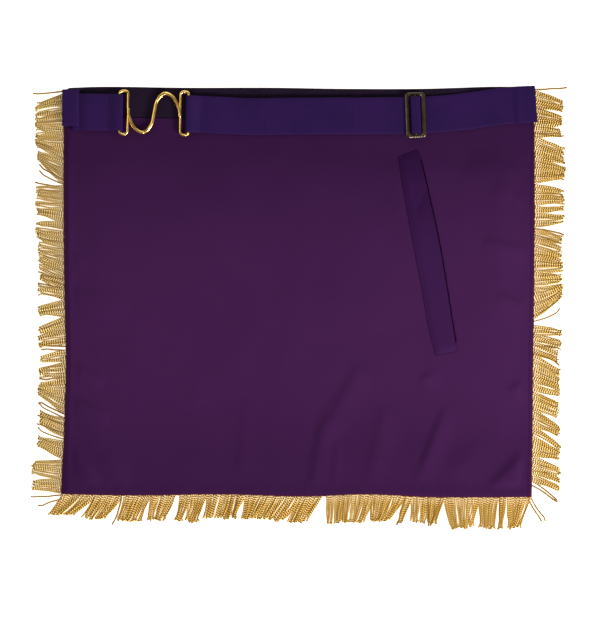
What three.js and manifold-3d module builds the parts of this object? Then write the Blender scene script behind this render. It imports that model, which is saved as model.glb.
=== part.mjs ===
// A fringed ceremonial apron lying on its face, seen from the back: a front panel and a satin lining sewn
// round a fringe tape, a dark band along the top, a belt with a slider and a clasp, and a slanted pocket.
// Millimetres. X runs across the apron, Y up towards the waist, Z away from the surface that it lies on.
// The origin is the middle of the front panel's flat face.

import * as THREE from "three";
import { mergeVertices } from "three/addons/utils/BufferGeometryUtils.js";
import Module from "manifold-3d";

const wasm = await Module();
wasm.setup();

// Panel and lining
const PANEL_WIDTH = 406.4;
const PANEL_HEIGHT = 352;
const FRONT_THICK = 1;
const LINING_THICK = 1;
const GAP = 0.3;
const HEM = 6;
const PUFF = 1.4;
const PUFF_RAMP = 28;
const FOLD_HEIGHT = 2.1;
const FOLD_WIDTH = 9;
const FOLD_RAMP = 8;
const LOWEST_DENT = 1;

// Fringe: a tape held in the side and bottom seams, and locks of twisted cord that hang from it
const TAPE_THICK = 1;
const TAPE_WIDTH = 9;
const TAPE_SHOWS = 0.9;
const TAPE_START = 0.006;
const LOCK_ROOT = 1.5;
const LOCK_STRAIGHT = 1.5;
const FRINGE_LENGTH = 26;
const LOCK_THICK = 2.5;
const LOCK_SIDE_THICK = 0.6;
const LOCK_SWEEP = 1.2;

// Band along the top
const BAND_HEIGHT = 26;

// Belt
const BELT_WIDTH = 31.8;
const BELT_THICK = 1.2;
const BELT_OVERHANG = 1.4;
const TURNED_END = 14;
const TAB_LENGTH = 14.8;
const TAB_TAIL = 6;
const SLOPE_RUN = 5;
const SLOPE_REACH = 0.5;

// Slider
const SLIDER_AT = 0.747;
const SLIDER_THICK = 1.8;
const SLIDER_SIDE_BAR = 3.4;
const SLIDER_END_BAR = 2.8;
const SLIDER_MIDDLE_BAR = 2.6;
const SLIDER_PLAY = 0.8;
const SLOT_SPARE = 0.9;
const SLIDER_CORNER = 3;

// Clasp: two rings joined by a plain hook
const CLASP_AT = 0.192;
const CLASP_LENGTH = 62;
const CLASP_WIRE = 2.4;
const CLASP_PLAY = 1.5;
const RING_DEPTH = 9.5;
const RING_CORNER = 4;
const HOOK_WIRE = 3.2;
const HOOK_HEIGHT = 33.6;
const METAL_BEVEL = 0.4;

// Pocket: the welt is sewn down along its left side and its ends, and its right side is the mouth
const WELT_LENGTH = 175.4;
const WELT_WIDTH = 21;
const WELT_THICK = 1;
const WELT_LEAN = THREE.MathUtils.degToRad(10.8);
const WELT_MIDDLE = { across: 0.772, down: 0.407 };
const WELT_TOP_SLANT = 0.2;
const WELT_LIFT = 0.7;
const MOUTH_UNDER = 1.2;
const MOUTH_BESIDE = 0.9;
const MOUTH_END = 8;

// How finely the pieces are divided
const LINING_CELLS = { across: 33, down: 27 };
const FRONT_CELLS = 16;
const BAND_CELLS = 12;
const TAPE_CELLS = 14;
const WELT_CELLS = { across: 3, down: 16 };
const TURN_STEPS = 7;
const CORNER_STEPS = 3;
const BELT_STEP = 24;
const HOOK_STEPS = 24;
const HOOK_SIDES = 6;
const METAL_ARC_STEPS = 2;

// How far each edge stands out from its straight line, as a share of the panel's width or height
const LEFT_EDGE = [
  { along: 0, out: -0.002 },
  { along: 0.08, out: 0 },
  { along: 0.4, out: 0 },
  { along: 0.55, out: -0.002 },
  { along: 0.67, out: -0.0045 },
  { along: 0.78, out: -0.002 },
  { along: 0.86, out: 0 },
  { along: 0.94, out: 0.004 },
  { along: 1, out: 0.006 },
];
const RIGHT_EDGE = [
  { along: 0, out: -0.002 },
  { along: 0.1, out: 0 },
  { along: 0.43, out: 0 },
  { along: 0.7, out: -0.003 },
  { along: 0.85, out: -0.004 },
  { along: 1, out: -0.0062 },
];
const BOTTOM_EDGE = [
  { along: 0, out: -0.0035 },
  { along: 0.14, out: 0 },
  { along: 0.34, out: -0.0025 },
  { along: 0.52, out: 0.0025 },
  { along: 0.65, out: -0.0025 },
  { along: 0.79, out: 0.0045 },
  { along: 1, out: 0.004 },
];
const TOP_EDGE = [
  { along: 0, out: 0 },
  { along: 0.07, out: 0.003 },
  { along: 0.26, out: 0.0007 },
  { along: 0.45, out: 0.0007 },
  { along: 0.58, out: -0.0017 },
  { along: 0.77, out: -0.0017 },
  { along: 0.84, out: 0.0007 },
  { along: 0.9, out: 0.003 },
  { along: 1, out: 0.003 },
];

// The belt's middle line: how far it lies under the top edge, in belt widths, at shares of the panel's width
const BELT_LINE = [
  { across: 0.034, drop: 0.655 },
  { across: 0.11, drop: 0.67 },
  { across: 0.262, drop: 0.705 },
  { across: 0.321, drop: 0.737 },
  { across: 0.395, drop: 0.78 },
  { across: 0.502, drop: 0.767 },
  { across: 0.672, drop: 0.759 },
  { across: 0.717, drop: 0.753 },
  { across: 0.791, drop: 0.715 },
  { across: 0.851, drop: 0.639 },
  { across: 0.94, drop: 0.484 },
  { across: 1.002, drop: 0.436 },
  { across: 1.02, drop: 0.418 },
];
const TAB_DROP = 0.541;

// The welt's two long sides, as shares of its width from its middle line, from its top end down
const WELT_SIDES = [
  { along: 0, left: -0.4, right: 0.42 },
  { along: 0.08, left: -0.44, right: 0.47 },
  { along: 0.25, left: -0.47, right: 0.52 },
  { along: 0.45, left: -0.48, right: 0.56 },
  { along: 0.65, left: -0.47, right: 0.53 },
  { along: 0.85, left: -0.5, right: 0.48 },
  { along: 1, left: -0.44, right: 0.45 },
];

// Folds of the lining, from one end to the other in shares of the panel's width and height. Each has its
// width and height in shares of a plain fold's, and how many times narrower its left side is than its right
// side, as seen from its start. A dent has a height under nothing.
const FOLDS = [
  { fromX: 0, fromY: 0.39, toX: 0.055, toY: 0.437, wide: 0.8, high: 0.45, steep: 2 },
  { fromX: 0, fromY: 0.498, toX: 0.14, toY: 0.54, wide: 1.8, high: 0.5, steep: 2 },
  { fromX: 0, fromY: 0.665, toX: 0.085, toY: 0.725, wide: 1, high: 0.75, steep: 2.5 },
  { fromX: 0, fromY: 0.755, toX: 0.1, toY: 0.812, wide: 1.1, high: 0.75, steep: 2.5 },
  { fromX: 0.01, fromY: 0.868, toX: 0.075, toY: 0.985, wide: 0.9, high: 0.8, steep: 2 },
  { fromX: 0.085, fromY: 0.89, toX: 0.14, toY: 0.99, wide: 1.2, high: 0.5, steep: 1.5 },
  { fromX: 0.267, fromY: 0.69, toX: 0.292, toY: 0.78, wide: 1.5, high: 0.3, steep: 1.5 },
  { fromX: 0.374, fromY: 0.96, toX: 0.39, toY: 0.76, wide: 1, high: 0.35, steep: 2 },
  { fromX: 0.527, fromY: 0.99, toX: 0.556, toY: 0.8, wide: 1.2, high: 0.8, steep: 2.4 },
  { fromX: 0.54, fromY: 0.87, toX: 0.64, toY: 0.67, wide: 1.3, high: 0.75, steep: 2 },
  { fromX: 0.572, fromY: 0.985, toX: 0.583, toY: 0.86, wide: 0.6, high: 0.35, steep: 2 },
  { fromX: 0.648, fromY: 0.975, toX: 0.685, toY: 0.775, wide: 1.2, high: 0.6, steep: 2 },
  { fromX: 0.75, fromY: 0.965, toX: 0.815, toY: 0.775, wide: 1.1, high: 0.9, steep: 3 },
  { fromX: 0.815, fromY: 0.96, toX: 0.9, toY: 0.865, wide: 1.6, high: 0.5, steep: 1.6 },
  { fromX: 0.905, fromY: 0.985, toX: 0.99, toY: 0.888, wide: 2.2, high: 1.1, steep: 5 },
  { fromX: 0.94, fromY: 0.748, toX: 0.995, toY: 0.72, wide: 1.2, high: 0.6, steep: 3 },
  { fromX: 0.757, fromY: 0.724, toX: 0.79, toY: 0.695, wide: 0.8, high: 0.5, steep: 2 },
  { fromX: 0.89, fromY: 0.372, toX: 0.995, toY: 0.408, wide: 1.3, high: 0.6, steep: 3 },
  { fromX: 0.92, fromY: 0.232, toX: 0.995, toY: 0.292, wide: 1, high: 0.5, steep: 2.5 },
  { fromX: 0.92, fromY: 0.505, toX: 0.995, toY: 0.548, wide: 1, high: 0.5, steep: 2.5 },
  { fromX: 0.86, fromY: 0.17, toX: 0.96, toY: 0.26, wide: 2, high: 0.6, steep: 1 },
  { fromX: 0.71, fromY: 0.17, toX: 0.73, toY: 0.32, wide: 1.3, high: 0.5, steep: 1 },
  { fromX: 0.73, fromY: 0.31, toX: 0.765, toY: 0.24, wide: 1.2, high: -0.5, steep: 1 },
  { fromX: 0.36, fromY: 0.5, toX: 0.2, toY: 0.76, wide: 4, high: -0.35, steep: 1 },
  { fromX: 0.31, fromY: 0.15, toX: 0.12, toY: 0.3, wide: 3, high: -0.4, steep: 1 },
  { fromX: 0.48, fromY: 0.16, toX: 0.38, toY: 0.3, wide: 2, high: -0.4, steep: 1 },
  { fromX: 0.6, fromY: 0.3, toX: 0.66, toY: 0.6, wide: 5, high: 0.5, steep: 1 },
];

// Locks of the fringe, one row each: where the lock leaves the edge and where its tip lies, as shares of the
// edge's length, and how far it reaches, as a share of the fringe's length
const LEFT_LOCKS = [
  { root: [0.016, 0.06], tip: [0.04, 0.069], reach: 1.0 },
  { root: [0.06, 0.112], tip: [0.077, 0.099], reach: 1.0 },
  { root: [0.112, 0.173], tip: [0.114, 0.141], reach: 0.97 },
  { root: [0.173, 0.232], tip: [0.159, 0.17], reach: 0.93 },
  { root: [0.241, 0.281], tip: [0.24, 0.267], reach: 0.95 },
  { root: [0.283, 0.33], tip: [0.28, 0.31], reach: 0.96 },
  { root: [0.332, 0.381], tip: [0.328, 0.364], reach: 0.97 },
  { root: [0.381, 0.472], tip: [0.369, 0.447], reach: 0.9 },
  { root: [0.472, 0.494], tip: [0.457, 0.468], reach: 0.84 },
  { root: [0.494, 0.518], tip: [0.482, 0.506], reach: 0.94 },
  { root: [0.522, 0.56], tip: [0.538, 0.558], reach: 0.92 },
  { root: [0.563, 0.594], tip: [0.585, 0.604], reach: 0.94 },
  { root: [0.597, 0.626], tip: [0.607, 0.636], reach: 0.94 },
  { root: [0.646, 0.67], tip: [0.662, 0.675], reach: 0.92 },
  { root: [0.675, 0.707], tip: [0.686, 0.707], reach: 0.92 },
  { root: [0.712, 0.798], tip: [0.726, 0.752], reach: 0.93 },
  { root: [0.812, 0.854], tip: [0.79, 0.825], reach: 0.88 },
  { root: [0.869, 0.908], tip: [0.857, 0.876], reach: 0.9 },
  { root: [0.915, 0.96], tip: [0.918, 0.942], reach: 1.04 },
  { root: [0.964, 0.992], tip: [0.964, 0.985], reach: 1.04 },
];
const RIGHT_LOCKS = [
  { root: [0.009, 0.05], tip: [0.033, 0.058], reach: 1.01 },
  { root: [0.05, 0.097], tip: [0.072, 0.094], reach: 0.98 },
  { root: [0.097, 0.121], tip: [0.104, 0.121], reach: 0.93 },
  { root: [0.121, 0.146], tip: [0.148, 0.165], reach: 1.04 },
  { root: [0.146, 0.173], tip: [0.168, 0.188], reach: 1.04 },
  { root: [0.173, 0.232], tip: [0.197, 0.221], reach: 1.06 },
  { root: [0.239, 0.273], tip: [0.249, 0.273], reach: 1.05 },
  { root: [0.276, 0.303], tip: [0.273, 0.298], reach: 1.04 },
  { root: [0.31, 0.339], tip: [0.315, 0.33], reach: 1.01 },
  { root: [0.347, 0.369], tip: [0.362, 0.384], reach: 0.98 },
  { root: [0.369, 0.411], tip: [0.388, 0.428], reach: 0.98 },
  { root: [0.413, 0.455], tip: [0.428, 0.447], reach: 1.0 },
  { root: [0.457, 0.565], tip: [0.46, 0.516], reach: 0.98 },
  { root: [0.585, 0.604], tip: [0.596, 0.609], reach: 0.98 },
  { root: [0.607, 0.624], tip: [0.621, 0.641], reach: 0.97 },
  { root: [0.627, 0.653], tip: [0.646, 0.675], reach: 0.9 },
  { root: [0.657, 0.74], tip: [0.692, 0.757], reach: 0.95 },
  { root: [0.748, 0.766], tip: [0.773, 0.794], reach: 0.93 },
  { root: [0.768, 0.789], tip: [0.795, 0.81], reach: 0.88 },
  { root: [0.793, 0.832], tip: [0.83, 0.857], reach: 0.93 },
  { root: [0.835, 0.903], tip: [0.879, 0.915], reach: 0.96 },
  { root: [0.906, 0.94], tip: [0.93, 0.957], reach: 0.98 },
  { root: [0.942, 0.965], tip: [0.962, 0.991], reach: 1.0 },
];
const BOTTOM_LOCKS = [
  { root: [-0.002, 0.066], tip: [-0.034, 0.018], reach: 0.72 },
  { root: [0.068, 0.121], tip: [0.036, 0.083], reach: 0.84 },
  { root: [0.13, 0.183], tip: [0.111, 0.162], reach: 0.92 },
  { root: [0.187, 0.236], tip: [0.177, 0.209], reach: 0.88 },
  { root: [0.247, 0.268], tip: [0.234, 0.245], reach: 0.92 },
  { root: [0.27, 0.302], tip: [0.257, 0.281], reach: 0.95 },
  { root: [0.304, 0.362], tip: [0.294, 0.347], reach: 0.86 },
  { root: [0.362, 0.383], tip: [0.351, 0.366], reach: 0.83 },
  { root: [0.385, 0.432], tip: [0.379, 0.404], reach: 0.83 },
  { root: [0.436, 0.502], tip: [0.406, 0.466], reach: 0.86 },
  { root: [0.502, 0.547], tip: [0.47, 0.519], reach: 0.92 },
  { root: [0.56, 0.591], tip: [0.56, 0.583], reach: 0.95 },
  { root: [0.594, 0.655], tip: [0.585, 0.638], reach: 0.95 },
  { root: [0.655, 0.726], tip: [0.653, 0.691], reach: 0.92 },
  { root: [0.728, 0.74], tip: [0.711, 0.719], reach: 1.0 },
  { root: [0.743, 0.779], tip: [0.736, 0.774], reach: 0.92 },
  { root: [0.781, 0.806], tip: [0.777, 0.789], reach: 0.95 },
  { root: [0.809, 0.881], tip: [0.823, 0.868], reach: 1.08 },
  { root: [0.883, 0.923], tip: [0.881, 0.917], reach: 1.08 },
  { root: [0.928, 0.938], tip: [0.928, 0.934], reach: 1.07 },
  { root: [0.945, 0.99], tip: [0.945, 0.968], reach: 1.1 },
];

// Sections along a lock, past its straight root and on to its tip: how far along each lies, and its
// underside and its top as shares of the lock's thickness
const LOCK_SECTIONS = [
  { reach: 0.42, under: 0, top: 1 },
  { reach: 0.76, under: 0, top: 0.92 },
  { reach: 1, under: 0, top: 0.76 },
];

// The hook's middle line between the rings, as shares of half its span and half its height
const HOOK_LINE = [
  { x: -0.98, y: 0.25 },
  { x: -0.95, y: -0.2 },
  { x: -0.72, y: -0.8 },
  { x: -0.38, y: -1 },
  { x: -0.1, y: -0.6 },
  { x: 0, y: 0 },
  { x: 0.1, y: 0.6 },
  { x: 0.38, y: 1 },
  { x: 0.72, y: 0.8 },
  { x: 0.95, y: 0.2 },
  { x: 0.98, y: -0.25 },
];

// Heights of the layers above the surface, from the lowest up
const tapeBottom = FRONT_THICK + GAP;
const tapeTop = tapeBottom + TAPE_THICK;
const borderBottom = tapeTop + GAP;
const borderTop = borderBottom + LINING_THICK;
const layerStep = BELT_THICK + GAP;
const firstLayer = borderTop + GAP + BELT_THICK / 2;
const secondLayer = firstLayer + layerStep;
const sliderBottom = secondLayer + BELT_THICK / 2 + GAP;
const foldOverBar = sliderBottom + SLIDER_THICK + GAP + BELT_THICK / 2;
const strapOverBar = foldOverBar + layerStep;
const claspBottom = firstLayer + BELT_THICK / 2 + GAP;
const overRing = claspBottom + CLASP_WIRE + GAP + BELT_THICK / 2;

const purpleFront = cloth(0x3a1b44, 0.8);
const purpleSatin = cloth(0x42194a, 0.55);
const bandCloth = cloth(0x211727, 0.85);
const beltCloth = cloth(0x2e1a4c, 0.7);
const goldCord = new THREE.MeshStandardMaterial({ color: 0xc99a3f, roughness: 0.45, metalness: 0.4 });
const bronze = new THREE.MeshStandardMaterial({ color: 0x5a4a2c, roughness: 0.3, metalness: 1 });
const gold = new THREE.MeshStandardMaterial({ color: 0xd4aa48, roughness: 0.25, metalness: 1 });

function cloth(color, roughness) {
  return new THREE.MeshStandardMaterial({ color, roughness, metalness: 0 });
}

// A smooth curve through the rows of a table, read at any place along it
function curveOf(rows, place, value) {
  const curve = new THREE.CubicInterpolant(
    rows.map((row) => row[place]),
    rows.map((row) => row[value]),
    1,
    new Float64Array(1),
  );
  return (at) => curve.evaluate(at)[0];
}

const leftOut = curveOf(LEFT_EDGE, "along", "out");
const rightOut = curveOf(RIGHT_EDGE, "along", "out");
const topOut = curveOf(TOP_EDGE, "along", "out");
const bottomOut = curveOf(BOTTOM_EDGE, "along", "out");
const beltDrop = curveOf(BELT_LINE, "across", "drop");
const weltLeft = curveOf(WELT_SIDES, "along", "left");
const weltRight = curveOf(WELT_SIDES, "along", "right");

const acrossOf = (x) => x / PANEL_WIDTH + 0.5;
const xAt = (across) => (across - 0.5) * PANEL_WIDTH;
const yAt = (down) => (0.5 - down) * PANEL_HEIGHT;
const leftX = (down) => xAt(-leftOut(down));
const rightX = (down) => xAt(1 + rightOut(down));
const topY = (across) => yAt(-topOut(across));
const bottomY = (across) => yAt(1 + bottomOut(across));
const beltY = (x) => yAt(0) - beltDrop(acrossOf(x)) * BELT_WIDTH;
const tabY = () => yAt(0) - TAB_DROP * BELT_WIDTH;
const turnOf = (line, x) => Math.atan2(line(x + SLOPE_REACH) - line(x - SLOPE_REACH), 2 * SLOPE_REACH);

// A point of the panel at shares of its width and height, inside its own bent edges
function panelPoint(across, down) {
  return {
    x: THREE.MathUtils.lerp(leftX(down), rightX(down), across),
    y: THREE.MathUtils.lerp(topY(across), bottomY(across), down),
  };
}

const shares = (cells, from = 0, to = 1) =>
  Array.from({ length: cells + 1 }, (_, i) => THREE.MathUtils.lerp(from, to, i / cells));

const raised = (point, z) => new THREE.Vector3(point.x, point.y, z);

const sheetBetween = (rows, bottom, top) =>
  slab(
    rows.map((row) => row.map((point) => raised(point, bottom(point.x, point.y)))),
    rows.map((row) => row.map((point) => raised(point, top(point.x, point.y)))),
  );

// A closed solid between two grids of points that have as many rows and columns as each other
function slab(lower, upper) {
  const rows = lower.length;
  const columns = lower[0].length;
  const at = (layer, row, column) => (layer * rows + row) * columns + column;
  const triangles = [];
  const quad = (a, b, c, d) => triangles.push(a, b, c, a, c, d);
  for (let r = 0; r + 1 < rows; r++)
    for (let c = 0; c + 1 < columns; c++) {
      quad(at(1, r, c), at(1, r + 1, c), at(1, r + 1, c + 1), at(1, r, c + 1));
      quad(at(0, r, c), at(0, r, c + 1), at(0, r + 1, c + 1), at(0, r + 1, c));
    }
  for (let c = 0; c + 1 < columns; c++) {
    quad(at(0, 0, c), at(1, 0, c), at(1, 0, c + 1), at(0, 0, c + 1));
    quad(at(0, rows - 1, c + 1), at(1, rows - 1, c + 1), at(1, rows - 1, c), at(0, rows - 1, c));
  }
  for (let r = 0; r + 1 < rows; r++) {
    quad(at(0, r + 1, 0), at(1, r + 1, 0), at(1, r, 0), at(0, r, 0));
    quad(at(0, r, columns - 1), at(1, r, columns - 1), at(1, r + 1, columns - 1), at(0, r + 1, columns - 1));
  }
  const points = [...lower.flat(), ...upper.flat()];
  return facingOut(new THREE.BufferGeometry().setFromPoints(points).setIndex(triangles));
}

// Turns every face of a closed geometry round if they face inwards
function facingOut(geometry) {
  const p = geometry.getAttribute("position");
  const index = geometry.index.array;
  const [a, b, c] = [new THREE.Vector3(), new THREE.Vector3(), new THREE.Vector3()];
  let sixVolumes = 0;
  for (let i = 0; i < index.length; i += 3) {
    a.fromBufferAttribute(p, index[i]);
    b.fromBufferAttribute(p, index[i + 1]);
    c.fromBufferAttribute(p, index[i + 2]);
    sixVolumes += a.dot(b.cross(c));
  }
  if (sixVolumes < 0)
    for (let i = 0; i < index.length; i += 3) [index[i + 1], index[i + 2]] = [index[i + 2], index[i + 1]];
  return geometry;
}

function solidOf(geometry) {
  const bare = geometry.clone().deleteAttribute("normal").deleteAttribute("uv");
  const merged = mergeVertices(bare, 1e-4);
  const vertProperties = new Float32Array(merged.getAttribute("position").array);
  return new wasm.Manifold(
    new wasm.Mesh({ numProp: 3, vertProperties, triVerts: new Uint32Array(merged.index.array) }),
  );
}

function geometryOf(solid) {
  const { vertProperties, triVerts } = solid.getMesh();
  return new THREE.BufferGeometry()
    .setAttribute("position", new THREE.BufferAttribute(vertProperties, 3))
    .setIndex(new THREE.BufferAttribute(triVerts, 1));
}

function piece(name, geometry, material) {
  geometry.computeVertexNormals();
  const mesh = new THREE.Mesh(geometry, material);
  mesh.name = name;
  return mesh;
}

// How far a point lies from a fold's line, and how much of the fold's height is left at that place along it
function foldAt(x, y, fold) {
  const from = new THREE.Vector2(xAt(fold.fromX), yAt(fold.fromY));
  const line = new THREE.Vector2(xAt(fold.toX), yAt(fold.toY)).sub(from);
  const point = new THREE.Vector2(x, y).sub(from);
  const share = THREE.MathUtils.clamp(point.dot(line) / line.lengthSq(), 0, 1);
  const width = (fold.wide * FOLD_WIDTH) / (line.cross(point) > 0 ? fold.steep : 1);
  const away = point.distanceTo(line.multiplyScalar(share)) / width;
  const ends = 1 - Math.abs(2 * share - 1) ** 3;
  return fold.high * FOLD_HEIGHT * Math.exp(-away * away) * ends;
}

// How far the lining's underside stands above its border: nothing along the hems and under the belt, and a
// soft swell with the folds in between
const flatUnderBelt = Math.max(...BELT_LINE.map((row) => row.drop)) * BELT_WIDTH + BELT_WIDTH / 2 + HEM;

function swell(x, y) {
  const across = acrossOf(x);
  const down = 0.5 - y / PANEL_HEIGHT;
  const fromEdge = Math.min(x - leftX(down), rightX(down) - x, y - bottomY(across));
  const fromBelt = yAt(0) - flatUnderBelt - y;
  const free =
    THREE.MathUtils.smoothstep(fromEdge, HEM, HEM + FOLD_RAMP) *
    THREE.MathUtils.smoothstep(fromBelt, 0, PUFF_RAMP);
  const full = THREE.MathUtils.smoothstep(fromEdge, HEM, HEM + PUFF_RAMP);
  const folds = FOLDS.reduce((sum, fold) => sum + foldAt(x, y, fold), 0);
  return free * Math.max(-LOWEST_DENT, PUFF * full + folds);
}

const liningTop = (x, y) => borderTop + swell(x, y);

// The front panel is flat, and only its outline is bent
function frontPanel() {
  const along = shares(FRONT_CELLS);
  const back = shares(FRONT_CELLS).reverse();
  const outline = [
    ...along.map((across) => panelPoint(across, 1)),
    ...back.slice(1).map((down) => panelPoint(1, down)),
    ...back.slice(1).map((across) => panelPoint(across, 0)),
    ...along.slice(1, -1).map((down) => panelPoint(0, down)),
  ];
  const shape = new THREE.Shape(outline.map(({ x, y }) => new THREE.Vector2(x, y)));
  const panel = new THREE.ExtrudeGeometry(shape, { depth: FRONT_THICK, bevelEnabled: false });
  return piece("front_panel", panel, purpleFront);
}

// A point of the welt, from its top end down and from its left side to its right side, where the mouth is. A
// distance beyond that side may be added.
function weltPoint(along, over, beyond = 0) {
  const side = THREE.MathUtils.lerp(weltLeft(along), weltRight(along), over) * WELT_WIDTH + beyond;
  const slant = WELT_TOP_SLANT * side * Math.max(0, 1 - 2 * along);
  const up = (0.5 - along) * WELT_LENGTH + slant;
  return {
    x: xAt(WELT_MIDDLE.across) - up * Math.sin(WELT_LEAN) + side * Math.cos(WELT_LEAN),
    y: yAt(WELT_MIDDLE.down) + up * Math.cos(WELT_LEAN) + side * Math.sin(WELT_LEAN),
  };
}

// What is cut out of the lining for the pocket's mouth, which follows the welt's right side
function pocketMouth() {
  const end = MOUTH_END / WELT_LENGTH;
  const rows = shares(WELT_CELLS.down, end, 1 - end).map((along) =>
    [-MOUTH_UNDER, MOUTH_BESIDE].map((beyond) => weltPoint(along, 1, beyond)),
  );
  const above = borderTop + PUFF + FOLD_HEIGHT * FOLDS.length;
  return sheetBetween(rows, () => FRONT_THICK, () => above);
}

// The lining starts where the band ends
function liningPanel() {
  const start = (BAND_HEIGHT + GAP) / PANEL_HEIGHT;
  const rows = shares(LINING_CELLS.down, start).map((down) =>
    shares(LINING_CELLS.across).map((across) => panelPoint(across, down)),
  );
  const sheet = sheetBetween(rows, (x, y) => borderBottom + swell(x, y), liningTop);
  const cut = solidOf(sheet).subtract(solidOf(pocketMouth()));
  return piece("lining_panel", geometryOf(cut), purpleSatin);
}

// A folded band: as thick as the seam in the middle, and thinner over the fringe's tape at its two ends
function topBand() {
  const overTape = (TAPE_WIDTH + GAP) / PANEL_WIDTH;
  const step = GAP / PANEL_WIDTH;
  const columns = [0, overTape, ...shares(BAND_CELLS, overTape + step, 1 - overTape - step), 1 - overTape, 1];
  const under = (across) => (Math.min(across, 1 - across) > overTape + step / 2 ? tapeBottom : borderBottom);
  const ends = [0, BAND_HEIGHT / PANEL_HEIGHT];
  const rows = ends.map((down) => columns.map((across) => panelPoint(across, down)));
  const lower = rows.map((row) => row.map((point, i) => raised(point, under(columns[i]))));
  const upper = rows.map((row) => row.map((point) => raised(point, borderTop)));
  return piece("top_band", slab(lower, upper), bandCloth);
}

function pocketWelt() {
  const lower = shares(WELT_CELLS.down).map((along) =>
    shares(WELT_CELLS.across).map((over) => {
      const point = weltPoint(along, over);
      const lift = WELT_LIFT * over * over * Math.sin(Math.PI * along);
      return raised(point, liningTop(point.x, point.y) + 2 * GAP + lift);
    }),
  );
  const upper = lower.map((row) => row.map((p) => raised(p, p.z + WELT_THICK)));
  return piece("pocket_welt", slab(lower, upper), purpleSatin);
}

// The three edges that carry fringe: a point at a share along each and a distance out from it, and where the
// tape begins and ends. At the two lower corners it is mitred.
const SIDES = {
  left: {
    length: PANEL_HEIGHT,
    locks: LEFT_LOCKS,
    ends: [TAPE_START, 1 + bottomOut(0)],
    mitres: [0, 1],
    point: (along, out) => new THREE.Vector2(leftX(along) - out, yAt(along)),
  },
  bottom: {
    length: PANEL_WIDTH,
    locks: BOTTOM_LOCKS,
    ends: [-leftOut(1), 1 + rightOut(1)],
    mitres: [-1, 1],
    point: (along, out) => new THREE.Vector2(xAt(along), bottomY(along) - out),
  },
  right: {
    length: PANEL_HEIGHT,
    locks: RIGHT_LOCKS,
    ends: [TAPE_START, 1 + bottomOut(1)],
    mitres: [0, 1],
    point: (along, out) => new THREE.Vector2(rightX(along) + out, yAt(along)),
  },
};

function tape({ length, ends, mitres, point }) {
  const rows = [-TAPE_WIDTH, TAPE_SHOWS].map((out) => {
    const slant = (out - GAP) / length;
    const [first, last] = ends.map((end, i) => end + mitres[i] * slant);
    return shares(TAPE_CELLS, first, last).map((along) => point(along, out));
  });
  const grid = (z) => rows.map((row) => row.map((p) => raised(p, z)));
  return slab(grid(tapeBottom), grid(tapeTop));
}

// A lock of cords: it leaves the tape square to the edge, drops to the surface and sweeps to its tip
function lock({ point }, { root, tip, reach }) {
  const inside = GAP / 3;
  const sections = [
    { out: -LOCK_ROOT, sweep: 0, under: tapeBottom + inside, top: tapeTop - inside },
    { out: LOCK_STRAIGHT, sweep: 0, under: FRONT_THICK, top: tapeTop - inside },
    ...LOCK_SECTIONS.map((section) => ({
      out: section.reach * reach * FRINGE_LENGTH,
      sweep: section.reach ** LOCK_SWEEP,
      under: section.under * LOCK_THICK,
      top: section.top * LOCK_THICK,
    })),
  ];
  const lower = [];
  const upper = [];
  for (const { out, sweep, under, top } of sections) {
    const [from, to] = [0, 1].map((end) => THREE.MathUtils.lerp(root[end], tip[end], sweep));
    const columns = shares(2, from, to).map((along) => point(along, out));
    const sideTop = THREE.MathUtils.lerp(under, top, LOCK_SIDE_THICK);
    lower.push(columns.map((p) => raised(p, under)));
    upper.push(columns.map((p, i) => raised(p, i === 1 ? top : sideTop)));
  }
  return slab(lower, upper);
}

function fringe(name) {
  const side = SIDES[name];
  const solids = [tape(side), ...side.locks.map((row) => lock(side, row))].map(solidOf);
  return piece("fringe_" + name, geometryOf(wasm.Manifold.union(solids)), goldCord);
}

const flat = (x, z) => new THREE.Vector2(x, z);

// A half turn of webbing from one layer to another, bulging to the left (-1) or to the right (1)
function turn(x, fromZ, toZ, bulge) {
  const radius = Math.abs(toZ - fromZ) / 2;
  const middle = (fromZ + toZ) / 2;
  return shares(TURN_STEPS).map((share) => {
    const angle = Math.PI * share;
    return flat(x + bulge * radius * Math.sin(angle), middle + (fromZ - middle) * Math.cos(angle));
  });
}

// A path through corner points in the x-z plane with each corner rounded by a short curve
function rounded(corners, cut = BELT_THICK) {
  const points = [corners[0]];
  for (let i = 1; i + 1 < corners.length; i++) {
    const before = corners[i].clone().sub(corners[i - 1]);
    const after = corners[i + 1].clone().sub(corners[i]);
    const reach = Math.min(cut, before.length() * 0.48, after.length() * 0.48);
    const start = corners[i].clone().sub(before.setLength(reach));
    const end = corners[i].clone().add(after.setLength(reach));
    points.push(...new THREE.QuadraticBezierCurve(start, corners[i], end).getPoints(CORNER_STEPS));
  }
  return [...points, corners.at(-1)];
}

// Long straight stretches are divided, so that the webbing can follow the belt's line across the apron
function divided(points) {
  return points.flatMap((p, i) => {
    if (i === 0) return [p];
    const before = points[i - 1];
    const cells = Math.max(1, Math.ceil(Math.abs(p.x - before.x) / BELT_STEP));
    return shares(cells)
      .slice(1)
      .map((share) => before.clone().lerp(p, share));
  });
}

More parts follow.
